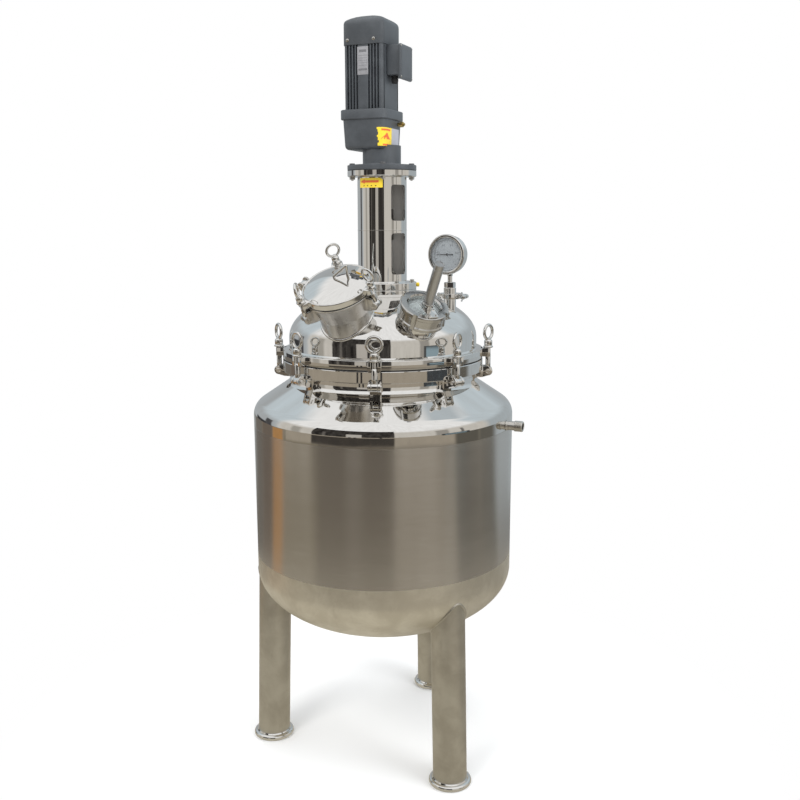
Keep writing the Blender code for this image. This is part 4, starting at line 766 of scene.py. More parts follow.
def around_tree():
    """Inputs: the shape, how many, how far from the axis and how high, where to start and the step."""
    tree = bpy.data.node_groups.new("around_an_axis", "GeometryNodeTree")
    face = tree.interface
    for name, kind, value in (("Item", "NodeSocketObject", None), ("Count", "NodeSocketInt", 8),
                              ("Radius", "NodeSocketFloat", 0.1), ("Level", "NodeSocketFloat", 0.0),
                              ("Start", "NodeSocketFloat", 0.0), ("Step", "NodeSocketFloat", 0.785),
                              ("Finish", "NodeSocketMaterial", None)):
        socket = face.new_socket(name=name, in_out="INPUT", socket_type=kind)
        if value is not None:
            socket.default_value = value
    face.new_socket(name="Geometry", in_out="OUTPUT", socket_type="NodeSocketGeometry")
    kinds = {"given": "NodeGroupInput", "result": "NodeGroupOutput", "points": "GeometryNodePoints",
             "index": "GeometryNodeInputIndex", "angle": "ShaderNodeMath", "turn": "ShaderNodeCombineXYZ",
             "spot": "ShaderNodeCombineXYZ", "spin": "ShaderNodeVectorRotate", "source": "GeometryNodeObjectInfo",
             "copies": "GeometryNodeInstanceOnPoints", "real": "GeometryNodeRealizeInstances",
             "finish": "GeometryNodeSetMaterial"}
    nodes = {name: tree.nodes.new(kind) for name, kind in kinds.items()}
    nodes["angle"].operation = "MULTIPLY_ADD"
    nodes["spin"].rotation_type = "Z_AXIS"
    for giver, output, taker, socket in (
            ("index", 0, "angle", 0), ("given", "Step", "angle", 1), ("given", "Start", "angle", 2),
            ("given", "Radius", "spot", "X"), ("given", "Level", "spot", "Z"), ("spot", 0, "spin", "Vector"),
            ("angle", 0, "spin", "Angle"), ("angle", 0, "turn", "Z"), ("given", "Count", "points", "Count"),
            ("spin", 0, "points", "Position"), ("given", "Item", "source", "Object"),
            ("points", 0, "copies", "Points"), ("source", "Geometry", "copies", "Instance"),
            ("turn", 0, "copies", "Rotation"), ("copies", 0, "real", 0), ("real", 0, "finish", "Geometry"),
            ("given", "Finish", "finish", "Material"), ("finish", 0, "result", 0)):
        tree.links.new(nodes[giver].outputs[output], nodes[taker].inputs[socket])
    return tree


def hex_head(across, height, place=STILL, dome=0.0008):
    """A six-sided head whose top edge is turned off."""
    six = circle(across / sqrt(3), 6)
    top = [(x * 0.88, y * 0.88) for x, y in six]
    return loft([at_height(six, 0), at_height(six, height - dome), at_height(top, height)], place)


def cap_screw(radius, height, place=STILL):
    """A round screw head with a hexagon socket."""
    head = rod(radius, height, 0, 24, STILL, radius * 0.2)
    six = circle(radius * 0.5, 6)
    hole = loft([at_height(six, height * 0.45), at_height(six, height * 1.5)])
    made = carved(head, hole)
    made.transform(place)
    return made


def pan_screw(radius, height, place=STILL):
    """A crowned screw head with a cross recess."""
    head = lathe([(0, height), (radius * 0.55, height * 0.92), (radius * 0.9, height * 0.55), (radius, 0), (0, 0)],
                 24)
    arm = radius * 0.6
    thin = radius * 0.13
    for x, y in ((arm, thin), (thin, arm)):
        head = carved(head, slab((-x, -y, height * 0.55), (x, y, height * 2), STILL, 0))
    head.transform(place)
    return head


def ellipse_end(radius, wide):
    """Angle on a dish at which it meets a pipe of the given radius."""
    return -acos(radius / wide)


def make_jacket():
    """Polished shoulder, brushed shell and matte dish, with their weld lines."""
    tangent = pi / 2 - SHOULDER_ANGLE
    run = JACKET_RADIUS - SHOULDER_KNUCKLE + SHOULDER_KNUCKLE * cos(tangent) - VESSEL_RADIUS
    knuckle_level = SHOULDER_TOP - run * tan(SHOULDER_ANGLE) - SHOULDER_KNUCKLE * sin(tangent)
    middle = (JACKET_RADIUS - SHOULDER_KNUCKLE, knuckle_level)
    inner = JACKET_WALL
    seam = 0.0004
    groove = JACKET_RADIUS - 0.0006
    shoulder = [(VESSEL_RADIUS + GAP, SHOULDER_TOP)] + arc(middle, SHOULDER_KNUCKLE, tangent, 0, 24)
    shoulder += [(JACKET_RADIUS, POLISH_LINE + seam), (groove, POLISH_LINE),
                 (JACKET_RADIUS - inner, POLISH_LINE)]
    shoulder += arc(middle, SHOULDER_KNUCKLE - inner, 0, tangent, 16)
    shoulder += [(VESSEL_RADIUS + GAP, SHOULDER_TOP - inner / cos(SHOULDER_ANGLE))]
    piece("jacket_shoulder", [lathe(shoulder, ROUND)], "polished_steel",
          stands_for=("outer_jacket",), sharp=50)
    shell = [(groove, POLISH_LINE), (JACKET_RADIUS, POLISH_LINE - seam),
             (JACKET_RADIUS, DISH_WELD + seam), (groove, DISH_WELD),
             (JACKET_RADIUS - inner, DISH_WELD), (JACKET_RADIUS - inner, POLISH_LINE)]
    piece("jacket_shell", [lathe(shell, ROUND)], "brushed_steel")
    wide = JACKET_RADIUS - inner
    deep = DISH_DEPTH - inner
    pipe = OUTLET["radius"] + GAP
    dish = [(groove, DISH_WELD), (JACKET_RADIUS, DISH_WELD - seam)]
    dish += arc((0, JACKET_BASE), JACKET_RADIUS, 0, ellipse_end(pipe, JACKET_RADIUS), 40, DISH_DEPTH / JACKET_RADIUS)
    dish += arc((0, JACKET_BASE), wide, ellipse_end(pipe, wide), 0, 40, deep / wide)
    dish += [(wide, DISH_WELD)]
    piece("jacket_dish", [lathe(dish, ROUND)], "dish_steel_painted_lighter")
    bead = [(JACKET_RADIUS - 0.0002, DISH_WELD + 0.0022), (JACKET_RADIUS + 0.00005, DISH_WELD),
            (JACKET_RADIUS - 0.0002, DISH_WELD - 0.0022), (JACKET_RADIUS - 0.002, DISH_WELD)]
    piece("dish_weld", [lathe(bead, ROUND)], "satin_steel", sharp=80)
    root = VESSEL_RADIUS + GAP * 0.5
    reach = 0.014
    radius = reach / tan((pi / 2 - SHOULDER_ANGLE) / 2)
    fillet = arc((root + radius, SHOULDER_TOP + reach), radius, pi, pi * 1.5 - SHOULDER_ANGLE, 18)
    fillet.append((root, SHOULDER_TOP - 0.001))
    piece("neck_weld", [lathe(fillet, ROUND)], "polished_steel", sharp=80)


def make_nozzle():
    """Short ferruled pipe on the jacket, its outer half ribbed for a coupling."""
    seat = JACKET_RADIUS + 2 * GAP
    half = (NOZZLE_REACH + seat) / 2
    rim = 0.014
    outline = [(0.0100, NOZZLE_REACH), (0.0122, NOZZLE_REACH), (0.0134, NOZZLE_REACH - 0.0012)]
    level = NOZZLE_REACH - 0.0024
    while level > half + 0.004:
        outline += [(rim, level), (rim - 0.0009, level - 0.0008), (rim, level - 0.0016)]
        level -= 0.0022
    outline += [(rim, half + 0.001), (rim - 0.0004, half), (0.0118, half - 0.0006), (0.0118, seat + 0.003),
                (0.0132, seat + 0.0012), (0.0132, seat), (0.0118, seat), (0.0118, JACKET_RADIUS - 0.010),
                (0.009, JACKET_RADIUS - 0.010), (0.009, NOZZLE_REACH - 0.001)]
    piece("hose_nozzle", [lathe(outline, 64, NOZZLE)], "satin_steel",
          stands_for=("side_nozzle",))


def under_dish(point):
    """Whether a point is outside the jacket's dish and shell."""
    across = (point.x ** 2 + point.y ** 2) / (JACKET_RADIUS + GAP) ** 2
    drop = max(0.0, JACKET_BASE - point.z) / (DISH_DEPTH + GAP)
    return across + drop ** 2 > 1


def make_legs():
    """Leaning tubes welded under the dish, on rolled polished feet."""
    lean = (LEG_FLOOR_CIRCLE - LEG_TOP_CIRCLE) / LEG_TOP
    steps = 72
    for name, azimuth in LEGS.items():
        base = moved(0, -LEG_FLOOR_CIRCLE, 0, turned(azimuth))
        columns = []
        line = []
        for x, y in circle(LEG_RADIUS, steps):
            top = crossing(lambda z: under_dish(base @ Vector((x, y + lean * z, z))), 0.30, LEG_TOP)
            levels = [FOOT_HEIGHT * 0.6, 0.10, 0.20, 0.30, (0.30 + top) / 2, top]
            columns.append([base @ Vector((x, y + lean * z, z)) for z in levels])
            line.append(columns[-1][-1])
        tube = loft(zip(*columns))
        # The weld runs where the tube meets the dish below the shell, from the first such point on.
        met = [point.z < LEG_TOP - 0.001 for point in line]
        start = next((i for i in range(steps) if met[i] and not met[i - 1]), 0)
        bead = sweep([line[(start + i) % steps] for i in range(sum(met))], 0.0036, 10, all(met))
        piece(name + "_tube", [tube, bead], "matte_steel", stands_for=(name,))
        roll = FOOT_HEIGHT / 2
        rim = [(LEG_RADIUS - 0.006, FOOT_HEIGHT + 0.003), (LEG_RADIUS + 0.0008, FOOT_HEIGHT + 0.003),
               (LEG_RADIUS + 0.003, FOOT_HEIGHT - 0.0002)]
        rim += arc((FOOT_RADIUS - roll, roll), roll, pi / 2 - 0.1, -pi / 2, 12)
        rim += [(LEG_RADIUS - 0.006, 0)]
        plug = rod(LEG_RADIUS - 0.0061, 0.004, 0.0002, 48, base)
        piece(name + "_rolled_foot", [lathe(rim, 96, base), plug], "polished_steel", sharp=50)


def swing_lugs(count, start, root, reach, pivot, level, top, sizes, place=STILL, welded=False):
    """Fork lugs with rounded noses, their pins with washers, and weld lines at their roots."""
    shapes = []
    nose = sizes["eye"] + 0.001
    half = sizes["eye_width"] / 2 + GAP
    far = sizes["lug"] / 2
    pin = sizes["pin"]
    for i in range(count):
        azimuth = start + 2 * pi * i / count
        side = facing(turned(azimuth - pi / 2, place))
        for sign in (-1, 1):
            ends = arc((pivot, level), nose, -pi / 2, pi / 2 - 0.2, 10)
            outline = [(reach - 0.001, level - 1.35 * nose)] + ends + [(pivot, top), (reach - 0.001, top)]
            low, high = sorted((sign * half, sign * far))
            shapes.append(bar(outline, low, high, side, 0.0012))
        block = [(root, level - 1.5 * nose), (reach, level - 1.35 * nose), (reach, top), (root, top)]
        shapes.append(bar(block, -far, far, side, 0.0012))
        axle = tipped(pi / 2, "Y", moved(0, -pivot, level, turned(azimuth, place)))
        shapes.append(lathe([(0, far + 0.0025), (pin * 0.8, far + 0.0025), (pin, far + 0.0018), (pin, -far - 0.0018),
                             (pin * 0.8, -far - 0.0025), (0, -far - 0.0025)], 28, axle))
        for sign in (-1, 1):
            spot = moved(0, 0, sign * (far + 0.0006), axle)
            shapes.append(band(pin, pin * 1.45, 0.0006, -0.0006, 28, spot))
        if welded:
            weld = at_height([(root + 0.0025, level - 1.5 * nose), (root + 0.0025, top)], 0)
            shapes += [sweep(weld, 0.0022, 8, False, moved(0, 0, sign * far, side)) for sign in (-1, 1)]
    return shapes


def ears(count, start, root, pivot, base, top, sizes, width, place=STILL):
    """Slotted ears on a rim."""
    shapes = []
    for i in range(count):
        frame_here = turned(start + 2 * pi * i / count, place)
        half = sizes["shank"] + 2 * GAP
        edge = pivot + sizes["seat_reach"]
        slot = arc((0, -pivot), half, pi, 0, 10)
        outline = [(-width / 2, -root), (-width / 2, -edge), (-half, -edge)]
        outline += slot + [(half, -edge), (width / 2, -edge), (width / 2, -root)]
        shapes.append(bar(outline, base, top, frame_here, 0.0014))
    return shapes


def make_vessel():
    """Inner vessel with its clamped flange, dished bottom, outlet and bolt lugs."""
    mouth = VESSEL_RADIUS - VESSEL_WALL
    pipe, bore = OUTLET["radius"], OUTLET["radius"] - OUTLET["wall"]
    rim = [(mouth + 0.02, VESSEL_TOP), (FLANGE_RADIUS - 0.0014, VESSEL_TOP), (FLANGE_RADIUS, VESSEL_TOP - 0.0014)]
    # Points close beside the arcs keep the shading of the straight stretches straight.
    roll, lower, under = 0.002, VESSEL_TOP - 0.0280, VESSEL_TOP - 0.0325
    rim += [(FLANGE_RADIUS, VESSEL_TOP - 0.0018), (FLANGE_RADIUS, lower + 0.0004)]
    rim += arc((FLANGE_RADIUS - roll, lower), roll, 0, -pi / 2, 6)
    rim += arc((VESSEL_RADIUS + roll, under), roll, pi / 2, pi, 5) + [(VESSEL_RADIUS, under - 0.0005)]
    outer = arc((0, VESSEL_BASE), VESSEL_RADIUS, 0, ellipse_end(pipe, VESSEL_RADIUS), 24, VESSEL_DISH / VESSEL_RADIUS)
    deep = VESSEL_DISH - VESSEL_WALL
    inner = arc((0, VESSEL_BASE), mouth, ellipse_end(bore, mouth), 0, 24, deep / mouth)
    end = OUTLET["end"]
    wide = OUTLET["flange_radius"]
    top = end + OUTLET["flange"]
    ferrule = softened([(pipe, outer[-1][1]), (pipe, top + 0.003), (wide, top - 0.002), (wide, end), (bore, end),
                        (bore, inner[0][1])], 0.001, False)
    outline = rim + outer[:-1] + ferrule + inner[1:] + [(mouth, VESSEL_TOP)]
    shapes = [lathe(outline, ROUND)]
    shapes += swing_lugs(LID_BOLTS, LID_BOLT_START, VESSEL_RADIUS - 0.002, FLANGE_RADIUS + 0.0015,
                         LID_PIVOT_RADIUS, LID_PIVOT, VESSEL_TOP - FLANGE + 0.002, LID_BOLT, welded=True)
    piece("vessel_with_lugs", shapes, "polished_steel", stands_for=("inner_vessel",))
    outside = FLANGE_RADIUS - 0.0015
    seal = [(outside, VESSEL_TOP + 0.003), (outside - 0.0006, VESSEL_TOP + 0.0016), (outside, VESSEL_TOP + GAP),
            (mouth + 0.0015, VESSEL_TOP + GAP), (mouth + 0.0015, VESSEL_TOP + 0.003)]
    piece("lid_seal_ring", [lathe(seal, 200)], "black_rubber", stands_for=("lid_gasket",))


def make_lid():
    """Dome lid: flange, skirt, crown and drive pad in one turned shape, bored for its fittings."""
    start = asin(PAD_RADIUS / DOME_RADIUS)
    outer = arc((0, DOME_BASE), DOME_RADIUS, pi / 2 - start, 0, 40, DOME_DEPTH / DOME_RADIUS)
    inside = DOME_RADIUS - DOME_WALL
    deep = DOME_DEPTH - DOME_WALL
    begin = asin(PAD_BORE / inside)
    inner = arc((0, DOME_BASE), inside, 0, pi / 2 - begin, 40, deep / inside)
    pad = softened([(PAD_BORE, PAD_TOP), (PAD_RADIUS, PAD_TOP), (PAD_RADIUS, outer[0][1])], 0.0012, False)
    rim = softened([(DOME_RADIUS, LID_TOP + 0.004), (DOME_RADIUS + 0.004, LID_TOP), (FLANGE_RADIUS, LID_TOP),
                    (FLANGE_RADIUS, LID_BASE), (inside, LID_BASE)], 0.0022, False)
    dome = lathe(pad + outer[1:] + rim + inner, ROUND)
    for place, bore, low, high in ((MANHOLE, MANHOLE_NECK - NECK_WALL, -0.12, 0.06),
                                   (SIGHT, SIGHT_NECK - NECK_WALL, -0.12, 0.05),
                                   (GAUGE, GAUGE_PIPE - 0.002, LID_TOP, CLAMP_LEVEL)):
        dome = carved(dome, rod(bore, high, low, 64, place))
    shapes = [dome] + ears(LID_BOLTS, LID_BOLT_START, FLANGE_RADIUS - 0.006, LID_PIVOT_RADIUS, LID_BASE + 0.001,
                           LID_TOP, LID_BOLT, 0.034)
    piece("dome_lid", shapes, "polished_steel", stands_for=("lid",))
    welds = [sweep(foot_of_tube(MANHOLE, MANHOLE_NECK, 0.0006, 120), 0.0042, 12, True),
             sweep(foot_of_tube(SIGHT, SIGHT_NECK, 0.0004), 0.0032, 12, True),
             sweep(foot_of_tube(moved(0, 0, dome_level(GAUGE_CENTRE), GAUGE), GAUGE_PIPE, 0.0002, 64), 0.0022, 10,
                   True)]
    piece("dome_fitting_welds", welds, "polished_steel", sharp=80)


def make_swing_bolt(kind, number, sizes, seat):
    """One swing bolt and its eye nut in the frame that their joints give."""
    swing = JOINTS[f"{kind}_bolt_{number}_swing"]
    turn = JOINTS[f"{kind}_eye_nut_{number}_turn"]
    across = Vector(swing["axis"]).normalized()
    up = Vector(turn["axis"]).normalized()
    along = up.cross(across)
    place = Matrix((across, along, up)).transposed().to_4x4()
    place.translation = Vector(swing["pos_m"])
    top = seat + sizes["body_height"] * 0.75
    wide = sizes["eye_width"] / 2
    eye_place = tipped(pi / 2, "Y", place)
    hole = (sizes["pin"] + GAP) / cos(pi / 10)
    eye = band(hole, sizes["eye"], wide, -wide, 40, eye_place, 0.0012)
    shank = [(0, top), (sizes["shank"] - 0.001, top), (sizes["shank"], top - 0.001)]
    level = top - 0.002
    while level > seat - 0.016:
        shank += [(sizes["shank"], level), (sizes["shank"] - 0.0007, level - 0.0007), (sizes["shank"], level - 0.0014)]
        level -= 0.0014
    neck = sizes["eye"] * 0.75
    shank += [(sizes["shank"], neck + 0.004), (sizes["shank"] - 0.0006, neck), (0, neck)]
    piece(f"{kind}_swing_bolt_{number}", [eye, lathe(shank, 24, place)], "polished_steel",
          body=f"{kind}_bolt_{number}", stands_for=(f"{kind}_bolt_{number}",), sharp=60)
    low = seat + GAP
    high = low + sizes["body_height"]
    collar, body = sizes["collar"], sizes["body"]
    bore = (sizes["shank"] + GAP) / cos(pi / 10)
    spin = Matrix.Rotation(radians(RING_TURNS[kind][number - 1]), 4, "Z")
    shell = [(0, high), (body * 0.55, high), (body * 0.95, high - 0.0035), (body, high - 0.007),
             (body, low + 0.0075), (body - 0.0012, low + 0.0062), (collar - 0.0016, low + 0.005),
             (collar, low + 0.0035), (collar, low + 0.001), (collar - 0.001, low), (bore, low),
             (bore, top + 0.002), (0, top + 0.002)]
    centre = high + sizes["ring"] - 0.0005
    ring = hoop(sizes["ring"], sizes["wire"], facing(moved(0, 0, centre, place @ spin)))
    root = lathe([(0, high + 0.003), (sizes["wire"] * 1.1, high + 0.0028), (sizes["wire"] * 1.6, high + 0.0008),
                  (body * 0.55, high - 0.0002), (0, high - 0.0002)], 24, place)
    piece(f"{kind}_eye_{number}", [lathe(shell, 32, place), ring, root], "polished_steel",
          body=f"{kind}_eye_nut_{number}", stands_for=(f"{kind}_eye_nut_{number}",), sharp=50)


def trimmed_to_dome(neck, radii, steps):
    """A fitting's neck without what would reach into the dome."""
    inside = [(0, dome_level(0) + GAP)] + [(r + GAP, dome_level(r) + GAP) for r in radii]
    inside += [(DOME_RADIUS + GAP, DOME_BASE + 0.02), (DOME_RADIUS + GAP, 1.0), (0, 1.0)]
    return carved(neck, lathe(inside, steps))


def make_manhole():
    """Tilted manhole: neck with its lugs and hinge, seal, and the dished mirror cover with its handle."""
    bore = MANHOLE_NECK - NECK_WALL
    low = MANHOLE_TOP - 0.010
    foot = -0.055
    rim = COVER_RADIUS - 0.0003
    outline = [(bore, MANHOLE_TOP), (rim - 0.001, MANHOLE_TOP), (rim, MANHOLE_TOP - 0.001)]
    spread, run = rim - MANHOLE_NECK, 0.060
    outline += [(MANHOLE_NECK + spread * (1 - i / 14) ** 1.2, MANHOLE_TOP - 0.003 - run * i / 14) for i in range(14)]
    outline += [(MANHOLE_NECK, foot), (bore, foot)]
    neck = lathe(outline, 160, MANHOLE)
    neck = trimmed_to_dome(neck, (0.02, 0.05, 0.09, 0.12, 0.15, 0.18, 0.20, 0.22, 0.235, 0.245), 160)
    lugs = swing_lugs(COVER_BOLTS, COVER_BOLT_START, MANHOLE_NECK - 0.001, MANHOLE_FLANGE + 0.0015,
                      MANHOLE_PIVOT_RADIUS, MANHOLE_PIVOT, low + 0.002, COVER_BOLT, MANHOLE)
    level = COVER_BASE + COVER_RIM / 2
    side = facing(turned(HINGE_AZIMUTH - pi / 2, MANHOLE))
    outline = [(MANHOLE_NECK - 0.001, low - 0.022), (HINGE_REACH, level - 0.020)]
    outline += arc((HINGE_REACH, level), 0.010, -pi / 4, pi, 12)
    outline += [(MANHOLE_FLANGE + 0.004, MANHOLE_TOP - 0.003), (MANHOLE_NECK - 0.001, low + 0.002)]
    plates = [bar(outline, z, z + 0.005, side, 0.0008) for z in (-0.015, 0.010)]
    pin = tipped(pi / 2, "Y", moved(0, -HINGE_REACH, level, turned(HINGE_AZIMUTH, MANHOLE)))
    plates.append(lathe([(0, 0.018), (0.0034, 0.018), (0.004, 0.0172), (0.004, -0.0155), (0.0062, -0.0155),
                         (0.0066, -0.0165), (0.0060, -0.018), (0, -0.018)], 28, pin))
    piece("manhole_neck_body", [neck] + lugs + plates, "neck_steel",
          stands_for=("manhole_neck",))
    edge = MANHOLE_FLANGE - 0.001
    ring = [(edge, COVER_BASE - GAP), (edge - 0.0006, COVER_BASE - 0.0015), (edge, MANHOLE_TOP + GAP),
            (MANHOLE_NECK, MANHOLE_TOP + GAP), (MANHOLE_NECK, COVER_BASE - GAP)]
    piece("manhole_seal_ring", [lathe(ring, 120, MANHOLE)], "black_rubber", stands_for=("manhole_gasket",))
    seat = COVER_BASE + COVER_RIM
    roll = 0.003
    crown = COVER_RADIUS - 2 * roll
    sphere = (crown ** 2 + COVER_RISE ** 2) / (2 * COVER_RISE)
    centre = seat + COVER_RISE - sphere
    turn = asin(crown / sphere)
    top = arc((0, centre), sphere, pi / 2, pi / 2 - turn + 0.02, 32)
    top[0] = (0, top[0][1])
    lip = [(crown + 0.0008, seat - 0.0016)]
    lip += arc((COVER_RADIUS - roll, seat - roll), roll, pi * 0.85, -0.1, 12)
    lip += softened([(COVER_RADIUS, seat - roll * 1.2), (COVER_RADIUS, COVER_BASE), (MANHOLE_NECK, COVER_BASE)],
                    0.0012, False)
    under = arc((0, centre), sphere - 0.004, pi / 2 - turn * 0.65, pi / 2, 16)
    under[-1] = (0, under[-1][1])
    cover = lathe(top + lip + [(MANHOLE_NECK - 0.006, seat - 0.004)] + under, 200, MANHOLE)
    shapes = [cover] + ears(COVER_BOLTS, COVER_BOLT_START, COVER_RADIUS - 0.006, MANHOLE_PIVOT_RADIUS,
                            COVER_BASE + 0.002, seat, COVER_BOLT, 0.028, MANHOLE)
    tongue = turned(HINGE_AZIMUTH, MANHOLE)
    shapes.append(slab((-0.0097, -HINGE_REACH - 0.0045, level - 0.0064),
                       (0.0097, -COVER_RADIUS + 0.006, level + 0.0064), tongue, 0.002))
    half = 0.0183
    crest = seat + COVER_RISE + 0.034
    foot_level = seat + COVER_RISE - 0.008
    path = softened([(-half, foot_level), (-half, foot_level + 0.013), (half * 1.25, crest), (half, foot_level + 0.015),
                     (half, foot_level)], 0.003, False)
    path = [(x, 0, z) for x, z in path]
    grip = turned(radians(5), moved(0.020, -0.001, 0, MANHOLE))
    shapes.append(sweep(path, 0.0035, 16, False, grip))
    piece("manhole_mirror_cover", shapes, "polished_steel", stands_for=("manhole_cover",), sharp=50)


def make_sight_glass():
    """Union-nut sight glass with its lamp on a small bracket."""
    bore = SIGHT_NECK - NECK_WALL
    seat = 0.050
    low = SIGHT_SEAT - 0.008
    outline = [(bore, SIGHT_SEAT), (seat, SIGHT_SEAT), (seat, low), (SIGHT_NECK + 0.002, low),
               (SIGHT_NECK, low - 0.002), (SIGHT_NECK, -0.05), (bore, -0.05)]
    neck = lathe(outline, 128, SIGHT)
    neck = trimmed_to_dome(neck, (0.03, 0.08, 0.12, 0.15, 0.17, 0.19, 0.21, 0.22, 0.23, 0.24, 0.247), 128)
    piece("sight_neck_tube", [neck], "polished_steel", stands_for=("sight_neck",))
    seal = band(bore + 0.001, GLASS_RADIUS, GLASS_BASE - GAP, SIGHT_SEAT + GAP, 96, SIGHT)
    piece("sight_seal_ring", [seal], "black_rubber", stands_for=("sight_gasket",))
    glass = rod(GLASS_RADIUS, GLASS_TOP, GLASS_BASE, 96, SIGHT, 0.0008)
    piece("sight_glass_disc", [glass], "clear_glass", stands_for=("sight_glass",))
    low_nut = low - 0.004
    waist = NUT_RADIUS - 0.0026
    lip = GLASS_TOP + GAP
    mouth = 0.0415
    nut = [(mouth + 0.003, NUT_TOP), (NUT_RADIUS - 0.0035, NUT_TOP)]
    nut += arc((NUT_RADIUS - 0.0035, NUT_TOP - 0.0035), 0.0035, pi / 2, 0, 5)[1:]
    nut += [(NUT_RADIUS, NUT_TOP - 0.010), (waist, NUT_TOP - 0.0125), (waist, low_nut + 0.0115),
            (NUT_RADIUS, low_nut + 0.009), (NUT_RADIUS, low_nut + 0.003), (NUT_RADIUS - 0.003, low_nut),
            (0.0506, low_nut), (0.0506, lip), (mouth, lip), (mouth, NUT_TOP - 0.004)]
    body = lathe(nut, 160, SIGHT)
    for i in range(4):
        notch = turned(radians(45 + 90 * i), SIGHT)
        body = carved(body, bar([(-0.006, -NUT_RADIUS - 0.01), (0.006, -NUT_RADIUS - 0.01),
                                 (0.006, -NUT_RADIUS + 0.004), (0.004, -NUT_RADIUS + 0.005),
                                 (-0.004, -NUT_RADIUS + 0.005), (-0.006, -NUT_RADIUS + 0.004)],
                                low_nut - 0.01, NUT_TOP + 0.01, notch, 0))
    piece("sight_union_nut", [body], "cover_steel", stands_for=("sight_nut",))
    base = NUT_TOP + GAP
    reach = NUT_RADIUS - 0.005
    far = LAMP_RADIUS + 0.002 - LAMP_OFFSET
    outline = [(x, y + (far - reach) / 2) for x, y in rounded_rectangle(0.028, reach + far, 0.004)]
    bracket = bar(outline, base, base + 0.004, SIGHT, 0.0007)
    clip = band(LAMP_RADIUS + 0.0002, LAMP_RADIUS + 0.0021, 0.0125, 0.0004, 64,
                moved(0, -LAMP_OFFSET, base + 0.004, SIGHT), 0.0006)
    screws = [cap_screw(0.0026, 0.0022, moved(x, -reach + 0.007, base + 0.004, SIGHT))
              for x in (-0.008, 0.008)]
    piece("lamp_bracket_clip", [bracket, clip] + screws, "polished_steel", stands_for=("lamp_bracket",))
    start = base + 0.004 + GAP
    end = start + LAMP_LENGTH
    tube = [(0, end - 0.001), (LAMP_RADIUS - 0.0026, end - 0.001), (LAMP_RADIUS - 0.002, end),
            (LAMP_RADIUS - 0.0008, end), (LAMP_RADIUS, end - 0.001), (LAMP_RADIUS, end - 0.014),
            (LAMP_RADIUS - 0.0005, end - 0.0146), (LAMP_RADIUS, end - 0.0152), (LAMP_RADIUS, start), (0, start)]
    piece("lamp_tube", [lathe(tube, 64, moved(0, -LAMP_OFFSET, 0, SIGHT))], "lamp_grey",
          stands_for=("lamp",))


def digit_mesh(text, size, place):
    """Numerals of a dial, raised a hair above it."""
    curve = bpy.data.curves.new("numeral", "FONT")
    curve.body = text
    curve.size = size
    curve.align_x = "CENTER"
    curve.align_y = "CENTER"
    curve.extrude = 0.00006
    mesh = baked(linked("numeral", curve))
    mesh.transform(place)
    return mesh


